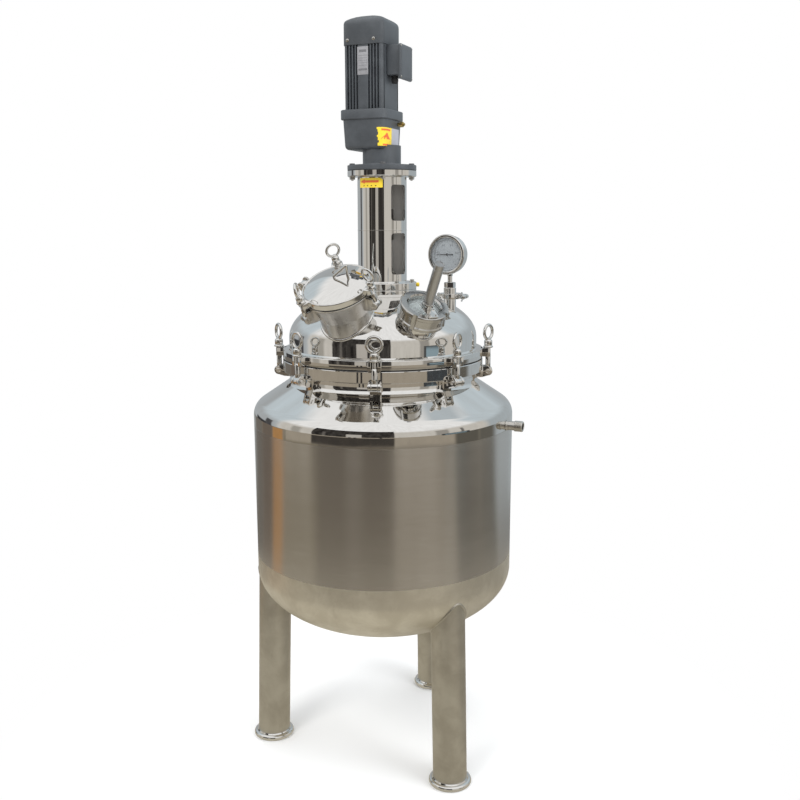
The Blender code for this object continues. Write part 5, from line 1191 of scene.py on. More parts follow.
def make_gauge():
    """Pressure gauge on its clamped ferrules, with a printed dial behind glass."""
    pipe, ferrule, thick = GAUGE_PIPE, 0.0252, 0.0029
    bore = pipe - 0.002
    top = CLAMP_LEVEL - GAP / 2
    root = dome_level(GAUGE_CENTRE + pipe) - 0.003
    stand = lathe([(bore, top), (ferrule, top), (ferrule, top - thick), (pipe, top - 2 * thick), (pipe, root),
                   (bore, root)], 64, GAUGE)
    piece("gauge_stand_pipe", [stand], "polished_steel", stands_for=("gauge_pipe",))
    base = CLAMP_LEVEL + GAP / 2
    neck = base + 0.0170 + 2 * thick
    hex_top = neck + 0.0125
    case_low = GAUGE_LEVEL - 0.048 - GAP
    shapes = [lathe(softened([(0, hex_top - 0.001), (0.012, hex_top - 0.001), (0.012, neck), (pipe, neck - 0.002),
                              (pipe, base + 2 * thick), (ferrule, base + thick), (ferrule, base), (0, base)],
                             0.0008, False), 64, GAUGE),
              hex_head(0.026, 0.0125, moved(0, 0, neck, GAUGE)),
              rod(0.006, case_low, hex_top - 0.002, 32, GAUGE),
              hex_head(0.0125, 0.006, moved(0, 0, case_low - 0.0065, GAUGE))]
    piece("gauge_adapter_stem", shapes, "polished_steel", stands_for=("gauge_adapter",))
    inner = ferrule + GAP
    lip = pipe + 0.003
    near = thick + 2 * GAP
    slope = thick * (inner - lip) / (ferrule - pipe)
    ring = softened([(0.030, 0.007), (0.030, -0.007), (lip, -0.007), (lip, -near - slope), (inner, -near),
                     (inner, near), (lip, near + slope), (lip, 0.007)], 0.0012)
    clamp_place = turned(CLAMP_AZIMUTH, moved(0, 0, CLAMP_LEVEL, GAUGE))
    split = carved(lathe(ring, 96, clamp_place), slab((-0.0012, -0.05, -0.02), (0.0012, -0.020, 0.02), clamp_place, 0))
    bolt_out = 0.0425
    lugs = []
    for sign in (-1, 1):
        low, high = sorted((sign * 0.0013, sign * 0.009))
        flat = [(-0.0275, -0.006), (-0.0275, 0.006)] + [(x - bolt_out, y) for x, y in
                                                       arc((0, 0), 0.006, pi / 2, 3 * pi / 2, 10)]
        lying = clamp_place @ SIDE_FACE
        lugs.append(bar(flat, low, high, lying, 0.0012))
    knuckle = moved(0, 0.032, 0, clamp_place)
    lugs += [rod(0.005, 0.006, -0.006, 28, knuckle, 0.001), rod(0.0022, 0.0075, -0.0075, 20, knuckle)]
    bolt = tipped(-pi / 2, "Y", moved(0, -bolt_out, 0, clamp_place))
    thread = [(0, 0.022), (0.0026, 0.022), (0.003, 0.0214)]
    level = 0.0210
    while level > 0.0095:
        thread += [(0.003, level), (0.0026, level - 0.0004), (0.003, level - 0.0008)]
        level -= 0.0009
    lugs.append(lathe(thread + [(0.003, -0.013), (0, -0.013)], 24, bolt))
    lugs.append(hex_head(0.010, 0.004, moved(0, 0, -0.0132, bolt)))
    piece("gauge_clamp_ring", [split] + lugs, "polished_steel", stands_for=("gauge_clamp",), sharp=50)
    nut = moved(0, 0, 0.009 + GAP, bolt)
    hub = lathe(softened([(0.0055, 0.010), (0.0075, 0), (0.0035, 0), (0.0035, 0.010)], 0.0008), 40, nut)
    wings = []
    for side in (0, pi):
        outline = softened([(0.0045, 0.001), (0.0090, 0.0045), (0.0118, 0.0062), (0.0125, 0.0090),
                            (0.0112, 0.0118), (0.0092, 0.0118), (0.0075, 0.0095), (0.0045, 0.0085)], 0.0012)
        wings.append(bar(outline, -0.0011, 0.0011, facing(turned(side, nut)), 0.0006))
    piece("clamp_wing_nut", [hub] + wings, "polished_steel", body="gauge_wing_nut", stands_for=("gauge_wing_nut",))
    make_gauge_head()


def make_gauge_head():
    """Case, dial with its print, pane and pointer."""
    wall, back, front = 0.002, -0.007, 0.026
    radius, bezel, inside = 0.048, 0.0515, 0.046
    pane = front - 0.004
    lip = 0.0435
    case = [(lip, front - 0.0008), (lip + 0.0012, front)]
    case += arc((bezel - 0.0030, front - 0.0030), 0.0030, pi / 2 - 0.2, 0, 6)
    case += [(bezel, front - 0.0085), (bezel - 0.0006, front - 0.009), (radius + 0.0002, front - 0.009),
             (radius, front - 0.0098), (radius, back + 0.006)]
    case += arc((radius - 0.005, back + 0.005), 0.005, 0, -pi / 2, 6)
    case += [(0, back), (0, back + wall), (inside - 0.003, back + wall), (inside, back + wall + 0.003),
             (inside, pane + 0.0026), (lip, pane + 0.0026)]
    piece("gauge_case_bezel", [lathe(case, 128, GAUGE_FACE)], "polished_steel",
          stands_for=("gauge_case",), sharp=50)
    face = front - 0.011
    print_level = face + 0.001
    dial = rod(inside - GAP, print_level, face, 96, GAUGE_FACE, 0.0003)
    piece("gauge_dial_face", [dial], "dial_white", stands_for=("gauge_dial",))
    start, span = radians(-135), radians(270)
    on_dial = moved(0, 0, print_level, GAUGE_FACE)
    marks = []
    for name, half, inner, height, count in (("fine_ticks", 0.00022, 0.0335, 0.00012, 51),
                                             ("long_ticks", 0.00042, 0.0315, 0.00014, 11)):
        tick = slab((-half, inner, 0.0), (half, 0.0375, height), STILL, 0)
        marks.append(repeated(name, tick, count, 0.0, 0.0, "needle_black", -start, -span * count / (count - 1),
                              on_dial))
    for i in range(6):
        angle = start + span * i / 5
        spot = moved(0.0262 * sin(angle), 0.0262 * cos(angle), 0, on_dial)
        marks.append(digit_mesh(f"{i * 0.2:g}", 0.0068, spot))
    angles = [start + span * i / 60 for i in range(61)]
    marks.append(sweep([(0.0377 * sin(a), 0.0377 * cos(a), 0.00004) for a in angles], 0.00022, 6, False, on_dial))
    piece("dial_scale_print", marks, "needle_black")
    piece("gauge_glass_pane", [rod(inside - GAP, pane + 0.002, pane, 96, GAUGE_FACE)], "dial_pane",
          stands_for=("gauge_window",))
    hub = print_level + GAP
    low, high = hub + 0.0012, hub + 0.0020
    hand = [(-0.033, -0.00025), (-0.012, -0.0010), (0, -0.0016), (0.006, -0.0013), (0.0125, -0.0016),
            (0.017, -0.0022), (0.017, 0.0022), (0.0125, 0.0016), (0.006, 0.0013), (0, 0.0016), (-0.012, 0.0010),
            (-0.033, 0.00025)]
    boss = [(0, hub + 0.0032), (0.0022, hub + 0.0030), (0.0034, hub + 0.0022), (0.0034, hub), (0, hub)]
    piece("gauge_pointer", [bar(hand, low, high, GAUGE_FACE, 0.00015), lathe(boss, 40, GAUGE_FACE)],
          "needle_black", body="gauge_needle", stands_for=("gauge_needle",))


def with_windows(tube, grow):
    """A tube with the lantern's four windows cut out, a little larger than they are by the given length."""
    for side in (0, pi):
        for low, high in WINDOWS:
            window = rounded_rectangle(WINDOW_WIDTH + grow, high - low + grow, 0.008, 8)
            place = facing(turned(WINDOW_AZIMUTH + side, moved(0, 0, (low + high) / 2)))
            tube = carved(tube, bar(window, 0.02, 0.12, place, 0))
    return tube


def make_lantern():
    """Lantern between the lid and the drive, with its windows, bolted head and locking screws."""
    bore = LANTERN_RADIUS - LANTERN_WALL
    foot_top = LANTERN_BASE + 0.0177
    head_base = LANTERN_TOP - LANTERN_HEAD
    seal_hole = 0.0423
    outline = [(LANTERN_MOUTH, LANTERN_TOP), (LANTERN_FLANGE - 0.0012, LANTERN_TOP),
               (LANTERN_FLANGE, LANTERN_TOP - 0.0012), (LANTERN_FLANGE, head_base + 0.0012),
               (LANTERN_FLANGE - 0.0012, head_base), (LANTERN_RADIUS + 0.003, head_base)]
    outline += arc((LANTERN_RADIUS + 0.003, head_base - 0.003), 0.003, pi / 2, pi, 4)[1:]
    outline += [(LANTERN_RADIUS, foot_top + 0.004)]
    outline += arc((LANTERN_RADIUS + 0.004, foot_top + 0.004), 0.004, pi, 3 * pi / 2, 4)[1:]
    outline += [(LANTERN_FLANGE - 0.0012, foot_top), (LANTERN_FLANGE, foot_top - 0.0012),
                (LANTERN_FLANGE, LANTERN_BASE + 0.001), (LANTERN_FLANGE - 0.001, LANTERN_BASE),
                (seal_hole, LANTERN_BASE), (seal_hole, foot_top), (bore, foot_top), (bore, head_base),
                (LANTERN_MOUTH, head_base)]
    tube = with_windows(lathe(outline, 192), 0.0)
    seam = [(LANTERN_RADIUS + out, LANTERN_SEAM + rise) for out, rise in
            ((0.0004, 0.001), (0.0007, 0), (0.0004, -0.001), (-0.002, -0.001), (-0.002, 0.001))]
    piece("lantern_tube", [tube, lathe(seam, 192)], "polished_steel", stands_for=("lantern",), sharp=40)
    face = with_windows(band(bore - 0.0008, bore - 0.0002, head_base - 0.001, foot_top + 0.001, 128), 0.0006)
    piece("lantern_bore_face", [face], "sooty_steel")
    screw = joined([cap_screw(0.0055, 0.0065), rod(0.0078, 0.0008, 0)])
    screws = repeated("foot_screws", screw, 6, 0.0785, foot_top, "satin_steel", radians(-62))
    piece("lantern_foot_screws", [screws], "satin_steel")
    nut = joined([hex_head(0.0125, 0.0075, tipped(pi, "X")), rod(0.0086, 0, -0.0012),
                  lathe([(0, -0.007), (0.0034, -0.007), (0.0036, -0.0098), (0, -0.0104)], 20)])
    piece("lantern_head_nuts", [repeated("head_nuts", nut, level=head_base, look="satin_steel", **HEAD_BOLTS)],
          "satin_steel")
    port = facing(moved(0, 0, LANTERN_BASE + 0.009, turned(PORT_AZIMUTH)))
    cap = [(0, 0.1000), (0.0046, 0.1000), (0.0056, 0.0990), (0.0056, 0.0935), (0.004, 0.0930), (0.004, 0.0905),
           (0, 0.0905)]
    piece("flush_port_cap", [lathe(cap, 32, port)], "yellow")


def make_seal_and_shafts():
    """Mechanical seal housing, both shafts, their coupling and the anchor stirrer."""
    base = LANTERN_BASE
    seal = [(0.0154, base + 0.058), (0.0252, base + 0.058), (0.0277, base + 0.054), (0.0277, base + 0.046),
            (0.0344, base + 0.044), (0.0344, base + 0.014), (0.042, base + 0.012), (0.042, base), (0.0154, base)]
    screws = [cap_screw(0.003, 0.003, moved(0, -0.031, base + 0.0438, turned(pi / 3 * i))) for i in range(6)]
    piece("seal_housing", [lathe(seal, 72, STILL, 0.0008)] + screws, "satin_steel",
          stands_for=("mechanical_seal",))
    joint = SHAFT_JOINT
    shaft = [(0, joint - GAP), (SHAFT_RADIUS - 0.0008, joint - GAP), (SHAFT_RADIUS, joint - 0.0011),
             (SHAFT_RADIUS, SHAFT_END + 0.0008), (SHAFT_RADIUS - 0.0008, SHAFT_END), (0, SHAFT_END)]
    piece("stirrer_shaft", [lathe(shaft, 64)], "polished_steel", body="agitator", stands_for=("agitator_shaft",))
    piece("drive_shaft", [rod(0.014, DRIVE_TOP, joint + GAP, 64)],
          "dark_steel", body="agitator", stands_for=("output_shaft",))
    low, high = joint - 0.040, joint + 0.040
    sleeve = [(0.0143, high), (0.028, high), (0.030, high - 0.002), (0.030, joint + 0.003), (0.028, joint),
              (0.030, joint - 0.003), (0.030, low + 0.002), (0.028, low), (0.0153, low), (0.0153, joint),
              (0.0143, joint)]
    screws = [cap_screw(0.0032, 0.0012, moved(0, 0, 0.0292, facing(turned(pi * i, moved(0, 0, joint + lift)))))
              for i in range(2) for lift in (-0.022, 0.022)]
    piece("shaft_coupling", [lathe(sleeve, 64)] + screws, "dark_steel", body="agitator", stands_for=("coupling",))
    inner = ANCHOR_RADIUS - ANCHOR_BLADE
    outline = [(ANCHOR_RADIUS, ANCHOR_TOP)]
    outline += arc((0, VESSEL_BASE), ANCHOR_RADIUS, 0, -pi, 48, ANCHOR_DEPTH / ANCHOR_RADIUS)
    outline += [(-ANCHOR_RADIUS, ANCHOR_TOP), (-inner, ANCHOR_TOP)]
    outline += arc((0, VESSEL_BASE), inner, -pi, 0, 48, (ANCHOR_DEPTH - ANCHOR_BLADE) / inner)
    outline.append((inner, ANCHOR_TOP))
    arms = bar(outline[::-1], -0.006, 0.006, facing(), 0.0012)
    hub = band(SHAFT_RADIUS + GAP, 0.025, HUB_TOP, HUB_BASE, 64, STILL, 0.001)
    shaft_space = rod(SHAFT_RADIUS + GAP, 0.62, 0.50, 64)
    piece("anchor_blade", [carved(arms, shaft_space), hub], "polished_steel", body="agitator",
          stands_for=("anchor_stirrer",))


def square_at(level, half, corner):
    """A round-cornered square as points at one height."""
    return at_height(rounded_rectangle(2 * half, 2 * half, corner, 8), level)


def finned_outline():
    """Motor housing outline, with cooling grooves beside a plain band on each face."""
    points = []
    corner, width, pitch = 0.010, 0.005, 0.0085
    for face in range(4):
        plain_half = 0.040 if face == 0 else 0.014
        turn = Matrix.Rotation(face * pi / 2, 2)
        grooves = []
        edge = plain_half
        while edge + width < MOTOR_HALF - corner + 0.004:
            grooves.append((edge, edge + width))
            edge += pitch
        spans = [(-b, -a) for a, b in reversed(grooves)] + grooves
        for low, high in spans:
            for depth, across in ((0, low - 0.0004), (0.0004, low), (0.0064, low + 0.0006), (0.0070, low + 0.0014),
                                  (0.0070, high - 0.0014), (0.0064, high - 0.0006), (0.0004, high),
                                  (0, high + 0.0004)):
                points.append(tuple(turn @ Vector((MOTOR_HALF - depth, across))))
        start = MOTOR_HALF - corner
        for x, y in arc((start, start), corner, 0.15, pi / 2 - 0.15, 6):
            points.append(tuple(turn @ Vector((x, y))))
    return points


def make_gear_motor():
    """Painted gear case on its round flange, finned motor and crowned fan cover."""
    base = LANTERN_TOP + GAP
    top = base + 0.0132
    small = GEAR_HALF - GEAR_TAPER - 0.010
    rings = [square_at(GEAR_BASE, small, 0.012)]
    rings += [square_at(GEAR_BASE + 0.011 * (1 - cos(a)), small + 0.010 * sin(a), 0.012 + 0.008 * sin(a))
              for a in (0.25, 0.5, 0.75, 1.0, 1.25, 1.5)]
    rings += [square_at(level, GEAR_HALF + grow, corner) for level, grow, corner in (
        (GEAR_TOP, 0, 0.020), (GEAR_TOP + 0.0006, 0.0035, 0.021), (GEAR_TOP + 0.0024, 0.005, 0.022),
        (GEAR_RIM_TOP - 0.0024, 0.005, 0.022), (GEAR_RIM_TOP - 0.0008, 0.0042, 0.0212), (GEAR_RIM_TOP, 0.002, 0.019))]
    case = loft(rings, MOTOR)
    fillet = 0.005
    neck = [(0, GEAR_BASE + 0.011), (LANTERN_MOUTH, GEAR_BASE + 0.011), (LANTERN_MOUTH, top + fillet)]
    neck += arc((LANTERN_MOUTH + fillet, top + fillet), fillet, pi, 3 * pi / 2, 5)[1:]
    neck += softened([(LANTERN_MOUTH + fillet, top), (LANTERN_FLANGE, top), (LANTERN_FLANGE, base), (0, base)],
                     0.0014, False)[1:]
    neck = lathe(neck, 128)
    bore = rod(0.0144, DRIVE_TOP + GAP, 1.50, 48)
    whole = carved(carved(case, neck, "UNION"), bore)
    piece("gear_case_with_flange", [whole], "motor_paint", stands_for=("gear_case",), sharp=38)
    bolt = joined([hex_head(0.0125, 0.0052, STILL, 0.0012), rod(0.0084, 0.0011, 0)])
    piece("output_flange_bolts", [repeated("flange_bolts", bolt, level=top, look="cast_steel", **HEAD_BOLTS)],
          "cast_steel")
    outline = finned_outline()
    housing = loft([at_height(outline, GEAR_RIM_TOP + GAP), at_height(outline, MOTOR_TOP)], MOTOR)
    piece("finned_motor", [housing], "motor_paint", stands_for=("motor_housing",), sharp=28)
    plate_face = facing(moved(0, -MOTOR_HALF - 0.0001, PLATE_LEVEL, MOTOR))
    plate = bar(rounded_rectangle(0.0300, 0.068, 0.0012), -0.0002, 0.0006, plate_face, 0.0003)
    piece("motor_plate", [plate], "plate_silver")
    fields = [(0.0235, 0.0200, 0.0060)] + [(0.0125 - 0.006 * k, 0.0240, 0.0008) for k in range(5)]
    fields = [bar(rounded_rectangle(wide, tall, tall * 0.2), 0.0005, 0.00075, moved(0, rise, 0, plate_face), 0)
              for rise, wide, tall in fields + [(-0.0215, 0.0240, 0.0050)]]
    piece("motor_plate_fields", fields, "plate_grey")
    corner = 0.014
    rings = [square_at(MOTOR_TOP + GAP, COVER_HALF - 0.0006, corner - 0.0006),
             square_at(MOTOR_TOP + GAP + 0.0008, COVER_HALF, corner),
             square_at(FAN_SHOULDER - 0.004, COVER_HALF, corner)]
    for share, lift in ((0.997, 0.0), (0.985, 0.0032), (0.962, 0.0060), (0.93, 0.0082), (0.88, 0.0104), (0.80, 0.0131),
                        (0.68, 0.0163), (0.55, 0.0186), (0.40, 0.0204), (0.25, 0.0215), (0.12, 0.0219), (0.04, 0.0220)):
        level = FAN_SHOULDER + lift * (FAN_PEAK - FAN_SHOULDER) / 0.022
        rings.append(square_at(level, COVER_HALF * share, (corner + 0.05 * (1 - share)) * share))
    piece("crowned_fan_cover", [loft(rings, MOTOR)], "motor_paint", stands_for=("fan_cover",), sharp=50)
    screws = []
    for face in (0, 2):
        wall = facing(turned(face * pi / 2, MOTOR))
        for across in (-0.041, 0.0315):
            screws.append(pan_screw(0.0046, 0.0030, moved(across, FAN_SCREWS, COVER_HALF - 0.0002, wall)))
    piece("fan_cover_screws", screws, "satin_steel")


def make_terminal_box():
    """Terminal box with its lid, corner screws and the gland below; the vent plug of the gear case."""
    low_x = MOTOR_HALF + GAP
    high_x = low_x + TERMINAL_DEEP
    half = TERMINAL_WIDE / 2
    box = slab((low_x, TERMINAL_SHIFT - half, TERMINAL_BASE),
               (high_x, TERMINAL_SHIFT + half, TERMINAL_BASE + TERMINAL_TALL), MOTOR, 0.003)
    piece("terminal_housing", [box], "motor_paint", stands_for=("terminal_box",))
    low = TERMINAL_BASE - 0.010
    high = TERMINAL_BASE + TERMINAL_TALL + 0.002
    wide, tall = TERMINAL_WIDE + 0.004, high - low
    lid_place = moved(high_x + GAP, TERMINAL_SHIFT, (low + high) / 2, MOTOR) @ SIDE_FACE
    outline = rounded_rectangle(wide, tall, 0.006, 6)
    thick = 0.0065
    rings = [at_height(outline, 0), at_height(outline, thick * 0.50)]
    for share, level in ((0.985, 0.66), (0.95, 0.82), (0.90, 0.93), (0.80, 1.0)):
        rings.append(at_height([(x * share, y * share) for x, y in outline], thick * level))
    piece("terminal_cover", [loft(rings, lid_place)], "motor_paint", stands_for=("terminal_lid",), sharp=50)
    screws = [pan_screw(0.0036, 0.0022, moved(sx * 0.0335, sy * (tall / 2 - 0.0055), thick * 0.70, lid_place))
              for sx in (-1, 1) for sy in (-1, 1)]
    piece("terminal_cover_screws", screws, "satin_steel")
    gland_place = moved(low_x + 0.012, TERMINAL_SHIFT - 0.012, TERMINAL_BASE - GAP, MOTOR)
    gland = [(0, 0), (0.009, 0), (0.009, -0.0035), (0.0078, -0.0040), (0.0078, -0.0062), (0.009, -0.0066),
             (0.009, -0.0125), (0.0078, -0.0160), (0.0066, -0.018), (0, -0.018)]
    grip = hex_head(0.0150, 0.0045, tipped(pi, "X", moved(0, 0, -0.0072, gland_place)))
    piece("gland", [lathe(gland[::-1], 32, gland_place), grip], "black_rubber", stands_for=("cable_gland",))
    seat = GEAR_HALF + GAP
    plug_place = tipped(pi / 2, "Y", moved(0, 0.028, GEAR_TOP - 0.0085, MOTOR))
    plug = [(0, seat + 0.019), (0.0030, seat + 0.019), (0.0038, seat + 0.0178), (0.0038, seat + 0.0150),
            (0.0070, seat + 0.0145), (0.0070, seat + 0.0062), (0.0049, seat + 0.006), (0.0049, seat), (0, seat)]
    grip = hex_head(0.0118, 0.0060, moved(0, 0, seat + 0.0072, plug_place))
    piece("breather_plug", [lathe(plug, 40, plug_place), grip], "brass", stands_for=("vent_plug",))


def film(spot, start, end, bottom, top, out, thick, steps):
    """A thin film from one place to another; spot gives the point at a place, a level and a height over the face."""
    corners = ((bottom, out), (bottom, out + thick), (top, out + thick), (top, out))
    return loft([[spot(start + (end - start) * i / steps, level, lift) for level, lift in corners]
                 for i in range(steps + 1)])


def on_lantern(left, right, bottom, top, out=0.00045, steps=2):
    """A film on the lantern between two azimuths."""
    def spot(azimuth, level, lift):
        side = outward(azimuth) * (LANTERN_RADIUS + lift)
        return side.x, side.y, level

    return film(spot, left, right, bottom, top, out, 0.00025, steps)


def on_case(left, right, bottom, top, out=0.0001, steps=24):
    """A film wrapped round the front corner of the gear case, by its length along the outline."""
    corner = 0.020
    bend = corner * pi / 2

    def spot(along, level, lift):
        half = GEAR_HALF - GEAR_TAPER * (GEAR_TOP - level) / (GEAR_TOP - GEAR_BASE) + lift
        start = half - corner - lift
        if along < 0:
            x, y = start + along, -half
        elif along < bend:
            angle = along / corner
            x, y = start + (corner + lift) * sin(angle), -start - (corner + lift) * cos(angle)
        else:
            x, y = half, -start + along - bend
        return MOTOR @ Vector((x, y, level))

    return film(spot, left, right, bottom, top, out, 0.0003, steps)


def make_labels():
    """Plain colour fields where the drive carries its stickers, without words."""
    start, end = radians(-60.5), radians(1.5)
    paper = [on_lantern(start, end, 1.5386, 1.5630, 0.0002, 18)]
    piece("lantern_sticker", paper, "yellow", sharp=80)
    middle = 1.5540
    arrow = [on_lantern(start + 0.30, end - 0.16, middle - 0.0028, middle + 0.0028, steps=18)]
    for k in range(8):
        half = 0.0007 + 0.0006 * k
        left = start + 0.06 + 0.032 * k
        arrow.append(on_lantern(left, left + 0.034, middle - half, middle + half))
    piece("sticker_arrow", arrow, "orange_red", sharp=80)
    dots = [on_lantern(start + 0.24 + 0.18 * k, start + 0.29 + 0.18 * k, 1.5424, 1.5444) for k in range(4)]
    piece("sticker_dots", dots, "needle_black", sharp=80)

    levels = (1.6425, 1.6500, 1.6560, 1.6640, 1.6690, 1.6770, 1.6830, 1.6880)
    torn_edge = (0.0030, 0.0062, 0.0034, 0.0008, 0.0042, 0.0026, 0.0)
    paper = [on_case(left, 0.0593, low, high) for left, low, high in zip(torn_edge, levels, levels[1:])]
    piece("gear_case_sticker", paper, "yellow", sharp=80)
    out = 0.0004
    fields = [on_case(0.012, 0.050, 1.6800, 1.6845, out), on_case(0.016, 0.046, 1.6435, 1.6475, out)]
    fields += [on_case(0.0300 - 0.0026 * k, 0.0300 + 0.0026 * k, 1.6745 - 0.0022 * k, 1.6767 - 0.0022 * k, out, 4)
               for k in range(1, 8)]
    piece("sticker_fields", fields, "orange_red", sharp=80)
    foil = [on_case(0.0600, 0.1060, levels[0], levels[-1])]
    piece("gear_case_foil", foil, "lilac_foil", sharp=80)


def painted(look, first, across, along, panels):
    """A ground colour with soft-edged panels over it, each between two places both ways."""
    colour = first
    for left, right, low, high, soft, paint in panels:
        mask = along.between(low - soft, low + soft) * (1.0 - along.between(high - soft, high + soft))
        if left > -180:
            mask = mask * across.between(left - soft, left + soft)
        if right < 180:
            mask = mask * (1.0 - across.between(right - soft, right + soft))
        colour = look.mix(mask, colour, paint)
    return colour


def glowing(look, colour):
    """The look as a plain light of its own."""
    look.surface(look.node("ShaderNodeEmission", {}, colour, 1.0).outputs[0])
    return look.material


def staged(name, mesh, material, mirrors_only=False):
    """A thing of the studio, which isn't part of the kettle."""
    mesh.materials.append(material)
    item = linked(name, mesh)
    if mirrors_only:
        item.visible_camera = False
        item.visible_diffuse = False
        item.visible_shadow = False
        item.visible_transmission = False
    return item


def square(name, half, level):
    """A level square about the kettle's axis."""
    mesh = bpy.data.meshes.new(name)
    mesh.from_pydata([(-half, -half, level), (half, -half, level), (half, half, level), (-half, half, level)], [],
                     [(0, 1, 2, 3)])
    return mesh


def make_room():
    """The hall that the mirrors show, painted by azimuth and elevation, and its floor by azimuth and distance."""
    look = Look("hall", (0.5, 0.5, 0.5), 0.9)
    turn, z, flat = around(look)
    azimuth = turn * DEGREES
    rise = (z - HALL_CENTRE).math("ARCTAN2", flat) * DEGREES
    colour = painted(look, (0.98, 0.98, 0.98), azimuth, rise, HALL)
    directions = look.out(look.node("ShaderNodeCombineXYZ", {}, azimuth, rise, 0.0))
    streaks = look.noise(look.stretched(directions, (0.22, 0.05, 1.0)), 1.0, 3.0, 0.6)
    colour = look.mix((streaks - 0.35) * 0.55, colour, (0.30, 0.28, 0.25))
    shape = bmesh.new()
    bmesh.ops.create_uvsphere(shape, u_segments=64, v_segments=32, radius=HALL_RADIUS)
    bmesh.ops.translate(shape, verts=shape.verts, vec=(0, 0, HALL_CENTRE))
    mesh = bpy.data.meshes.new("hall")
    shape.to_mesh(mesh)
    shape.free()
    staged("hall", mesh, glowing(look, colour), True)

    look = Look("hall_floor", (0.5, 0.5, 0.5), 0.9)
    turn, z, distance = around(look)
    colour = painted(look, (0.27, 0.235, 0.185), turn * DEGREES, distance * 10.0, HALL_FLOOR)
    clouds = look.noise(look.spot(), 1.6, 4.0, 0.6)
    colour = look.mix((clouds - 0.40) * 0.5, colour, (0.12, 0.10, 0.08))
    staged("hall_floor", square("hall_floor", HALL_RADIUS - 0.1, 0.002), glowing(look, colour), True)


# Panels: from and to azimuth, from and to elevation, softness, colour; all in degrees
HALL = (
    (90, 180, -90, 50, 8, (0.59, 0.67, 0.72)),
    (110, 180, 50, 68, 4, (0.52, 0.58, 0.62)),
    (-180, -100, -90, 50, 8, (0.60, 0.68, 0.73)),
    (90, 180, -90, 16, 8, (0.43, 0.48, 0.51)),
    (-180, -100, -90, 16, 8, (0.44, 0.47, 0.49)),
    (158, 180, -90, 56, 2, (0.42, 0.45, 0.47)),
    (-180, -150, -90, 56, 2, (0.42, 0.45, 0.47)),
    (140, 180, 55, 58, 0.8, (0.05, 0.05, 0.06)),
    (-180, -152, 55, 58, 0.8, (0.05, 0.05, 0.06)),
    (-100, 100, -90, 22, 6, (0.64, 0.61, 0.56)),
    (-84, -74, -90, 16, 2, (0.40, 0.38, 0.34)),
    (-142, -118, -90, -3, 1.5, (0.03, 0.03, 0.034)),
    (-121, -110, -90, 9, 1.5, (0.06, 0.06, 0.065)),
    (-62, 9, -90, 27, 0.6, (0.018, 0.016, 0.015)),
    (-31, -18, -90, 7, 0.6, (0.50, 0.47, 0.43)),
    (-52, -49, -90, 12, 0.8, (0.12, 0.11, 0.10)),
    (44, 56, -90, 16, 1.5, (0.34, 0.32, 0.29)),
    (68, 71, -90, 14, 0.8, (0.16, 0.15, 0.14)),
    (49, 77, -20, -4.5, 0.6, (0.045, 0.05, 0.055)),
    (52, 74, -17, -6.5, 0.6, (0.27, 0.37, 0.42)),
)
# The same with the distance from the axis in tenths of a metre in place of the elevation
HALL_FLOOR = (
    (-180, -128, 10, 99, 3, (0.17, 0.155, 0.135)),
    (-128, -108, 10, 99, 3, (0.16, 0.13, 0.105)),
    (-108, -94, 10, 60, 2, (0.44, 0.235, 0.09)),
    (-92, -56, 10, 45, 2, (0.215, 0.185, 0.132)),
    (-56, 9, 10, 45, 1.0, (0.15, 0.126, 0.097)),
    (9, 34, 10, 45, 2, (0.275, 0.243, 0.195)),
    (34, 62, 10, 45, 3, (0.29, 0.258, 0.21)),
    (-90, 62, 43, 99, 1, (0.37, 0.325, 0.26)),
    (-62, 9, 43, 56, 1.0, (0.05, 0.044, 0.038)),
    (62, 88, 10, 99, 3, (0.112, 0.104, 0.086)),
    (88, 114, 10, 99, 3, (0.125, 0.118, 0.10)),
    (114, 180, 10, 99, 4, (0.25, 0.25, 0.24)),
    (110, 180, 26, 99, 6, (0.42, 0.46, 0.48)),
    (-180, -150, 26, 99, 6, (0.36, 0.38, 0.38)),
    (-29, -27, 56, 99, 0.3, (0.02, 0.02, 0.02)),
    (-24.5, -22.5, 56, 99, 0.3, (0.02, 0.02, 0.02)),
    (-3, -1, 56, 99, 0.3, (0.03, 0.03, 0.03)),
    (49, 77, 54, 99, 0.5, (0.05, 0.055, 0.06)),
    (52.5, 73.5, 56.5, 64, 0.5, (0.22, 0.30, 0.33)),
    (-180, 180, -5, 16.5, 1.5, (0.53, 0.49, 0.40)),
    (60, 150, -5, 16.5, 4, (0.40, 0.37, 0.31)),
)


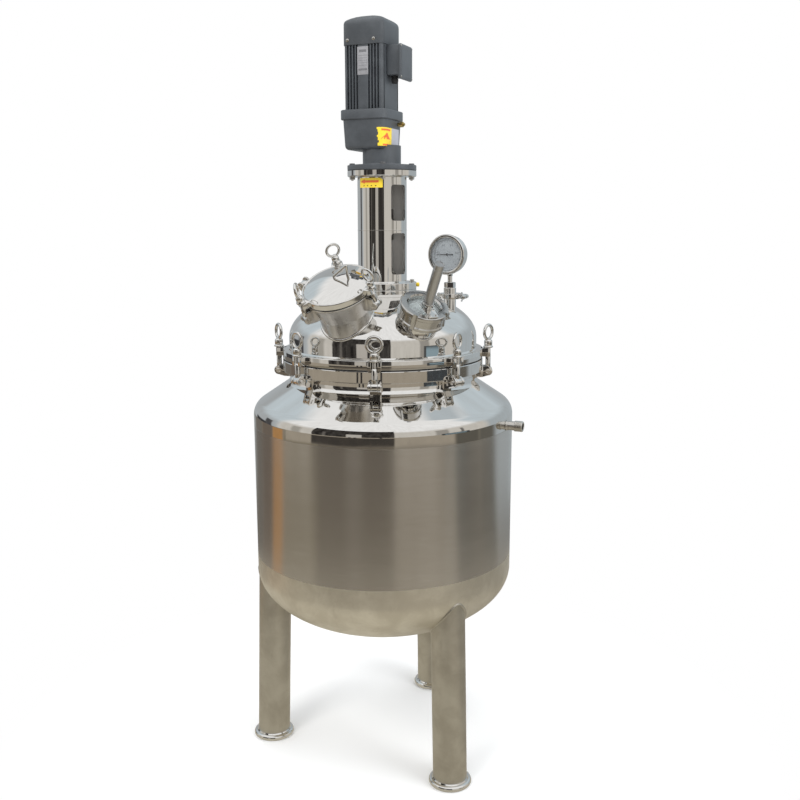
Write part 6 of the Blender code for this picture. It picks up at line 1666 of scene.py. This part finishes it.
def make_studio():
    """White floor that melts into a white world, the room seen in the mirrors, and soft lights."""
    look = Look("floor_white", (0.97, 0.97, 0.97), 0.9, 0.0, Specular_IOR_Level=0.1)
    distance = look.out(look.node("ShaderNodeVectorMath", {"operation": "LENGTH"}, look.spot()), "Value")
    glow = look.node("ShaderNodeEmission", {}, Strength=1.0)
    blend = look.node("ShaderNodeMixShader", {}, distance.between(0.55, 1.10), look.out(look.shader), look.out(glow))
    look.surface(blend.outputs[0])
    staged("floor", square("floor", 40, 0), look.material)
    make_room()

    world = bpy.data.worlds.new("studio")
    bpy.context.scene.world = world
    world.use_nodes = True
    tree = world.node_tree
    tree.nodes.clear()
    seen, soft = tree.nodes.new("ShaderNodeBackground"), tree.nodes.new("ShaderNodeBackground")
    for node, colour, strength in ((seen, (1, 1, 1, 1), 1.0), (soft, (0.96, 0.98, 1.0, 1), 0.95)):
        node.inputs["Color"].default_value = colour
        node.inputs["Strength"].default_value = strength
    ray = tree.nodes.new("ShaderNodeLightPath")
    choose = tree.nodes.new("ShaderNodeMixShader")
    result = tree.nodes.new("ShaderNodeOutputWorld")
    tree.links.new(ray.outputs["Is Diffuse Ray"], choose.inputs[0])
    tree.links.new(seen.outputs[0], choose.inputs[1])
    tree.links.new(soft.outputs[0], choose.inputs[2])
    tree.links.new(choose.outputs[0], result.inputs["Surface"])

    for name, spot, aim, size, power, tint in (
            ("key", (-1.9, -2.6, 3.6), (0, 0, 1.0), 1.6, 60, (1.0, 0.98, 0.95)),
            ("fill", (2.8, -2.0, 2.4), (0, 0, 1.0), 2.2, 62, (0.94, 0.97, 1.0)),
            ("top", (0.3, 0.4, 4.2), (0, 0, 1.0), 2.6, 40, (1.0, 1.0, 1.0))):
        data = bpy.data.lights.new(name, "AREA")
        data.shape = "DISK"
        data.size = size
        data.energy = power
        data.color = tint
        lamp = linked(name, data)
        lamp.location = spot
        lamp.rotation_euler = (Vector(aim) - Vector(spot)).to_track_quat("-Z", "Y").to_euler()
        lamp.visible_glossy = False


def make_camera():
    """Camera at chest height, looking slightly down, as fitted to the picture."""
    pitch, yaw, roll = CAMERA_TURNS
    forward = Vector((sin(yaw) * cos(pitch), cos(yaw) * cos(pitch), -sin(pitch)))
    right = forward.cross(Vector((0, 0, 1))).normalized()
    up = right.cross(forward)
    across = cos(roll) * right + sin(roll) * up
    upright = cos(roll) * up - sin(roll) * right
    data = bpy.data.cameras.new("camera")
    data.lens = CAMERA_LENS
    data.sensor_width = 36
    data.clip_end = 200
    data.dof.use_dof = False
    camera = linked("camera", data)
    place = Matrix((across, upright, -forward)).transposed().to_4x4()
    place.translation = CAMERA_SPOT
    camera.matrix_world = place
    bpy.context.scene.camera = camera


make_jacket()
make_nozzle()
make_legs()
make_vessel()
make_lid()
for number in range(1, LID_BOLTS + 1):
    make_swing_bolt("lid", number, LID_BOLT, LID_TOP - LID_PIVOT)
for number in range(1, COVER_BOLTS + 1):
    make_swing_bolt("manhole", number, COVER_BOLT, COVER_BASE + COVER_RIM - MANHOLE_PIVOT)
make_manhole()
make_sight_glass()
make_gauge()
make_lantern()
make_seal_and_shafts()
make_gear_motor()
make_terminal_box()
make_labels()
make_studio()
make_camera()
bpy.context.scene.view_settings.view_transform = "Standard"
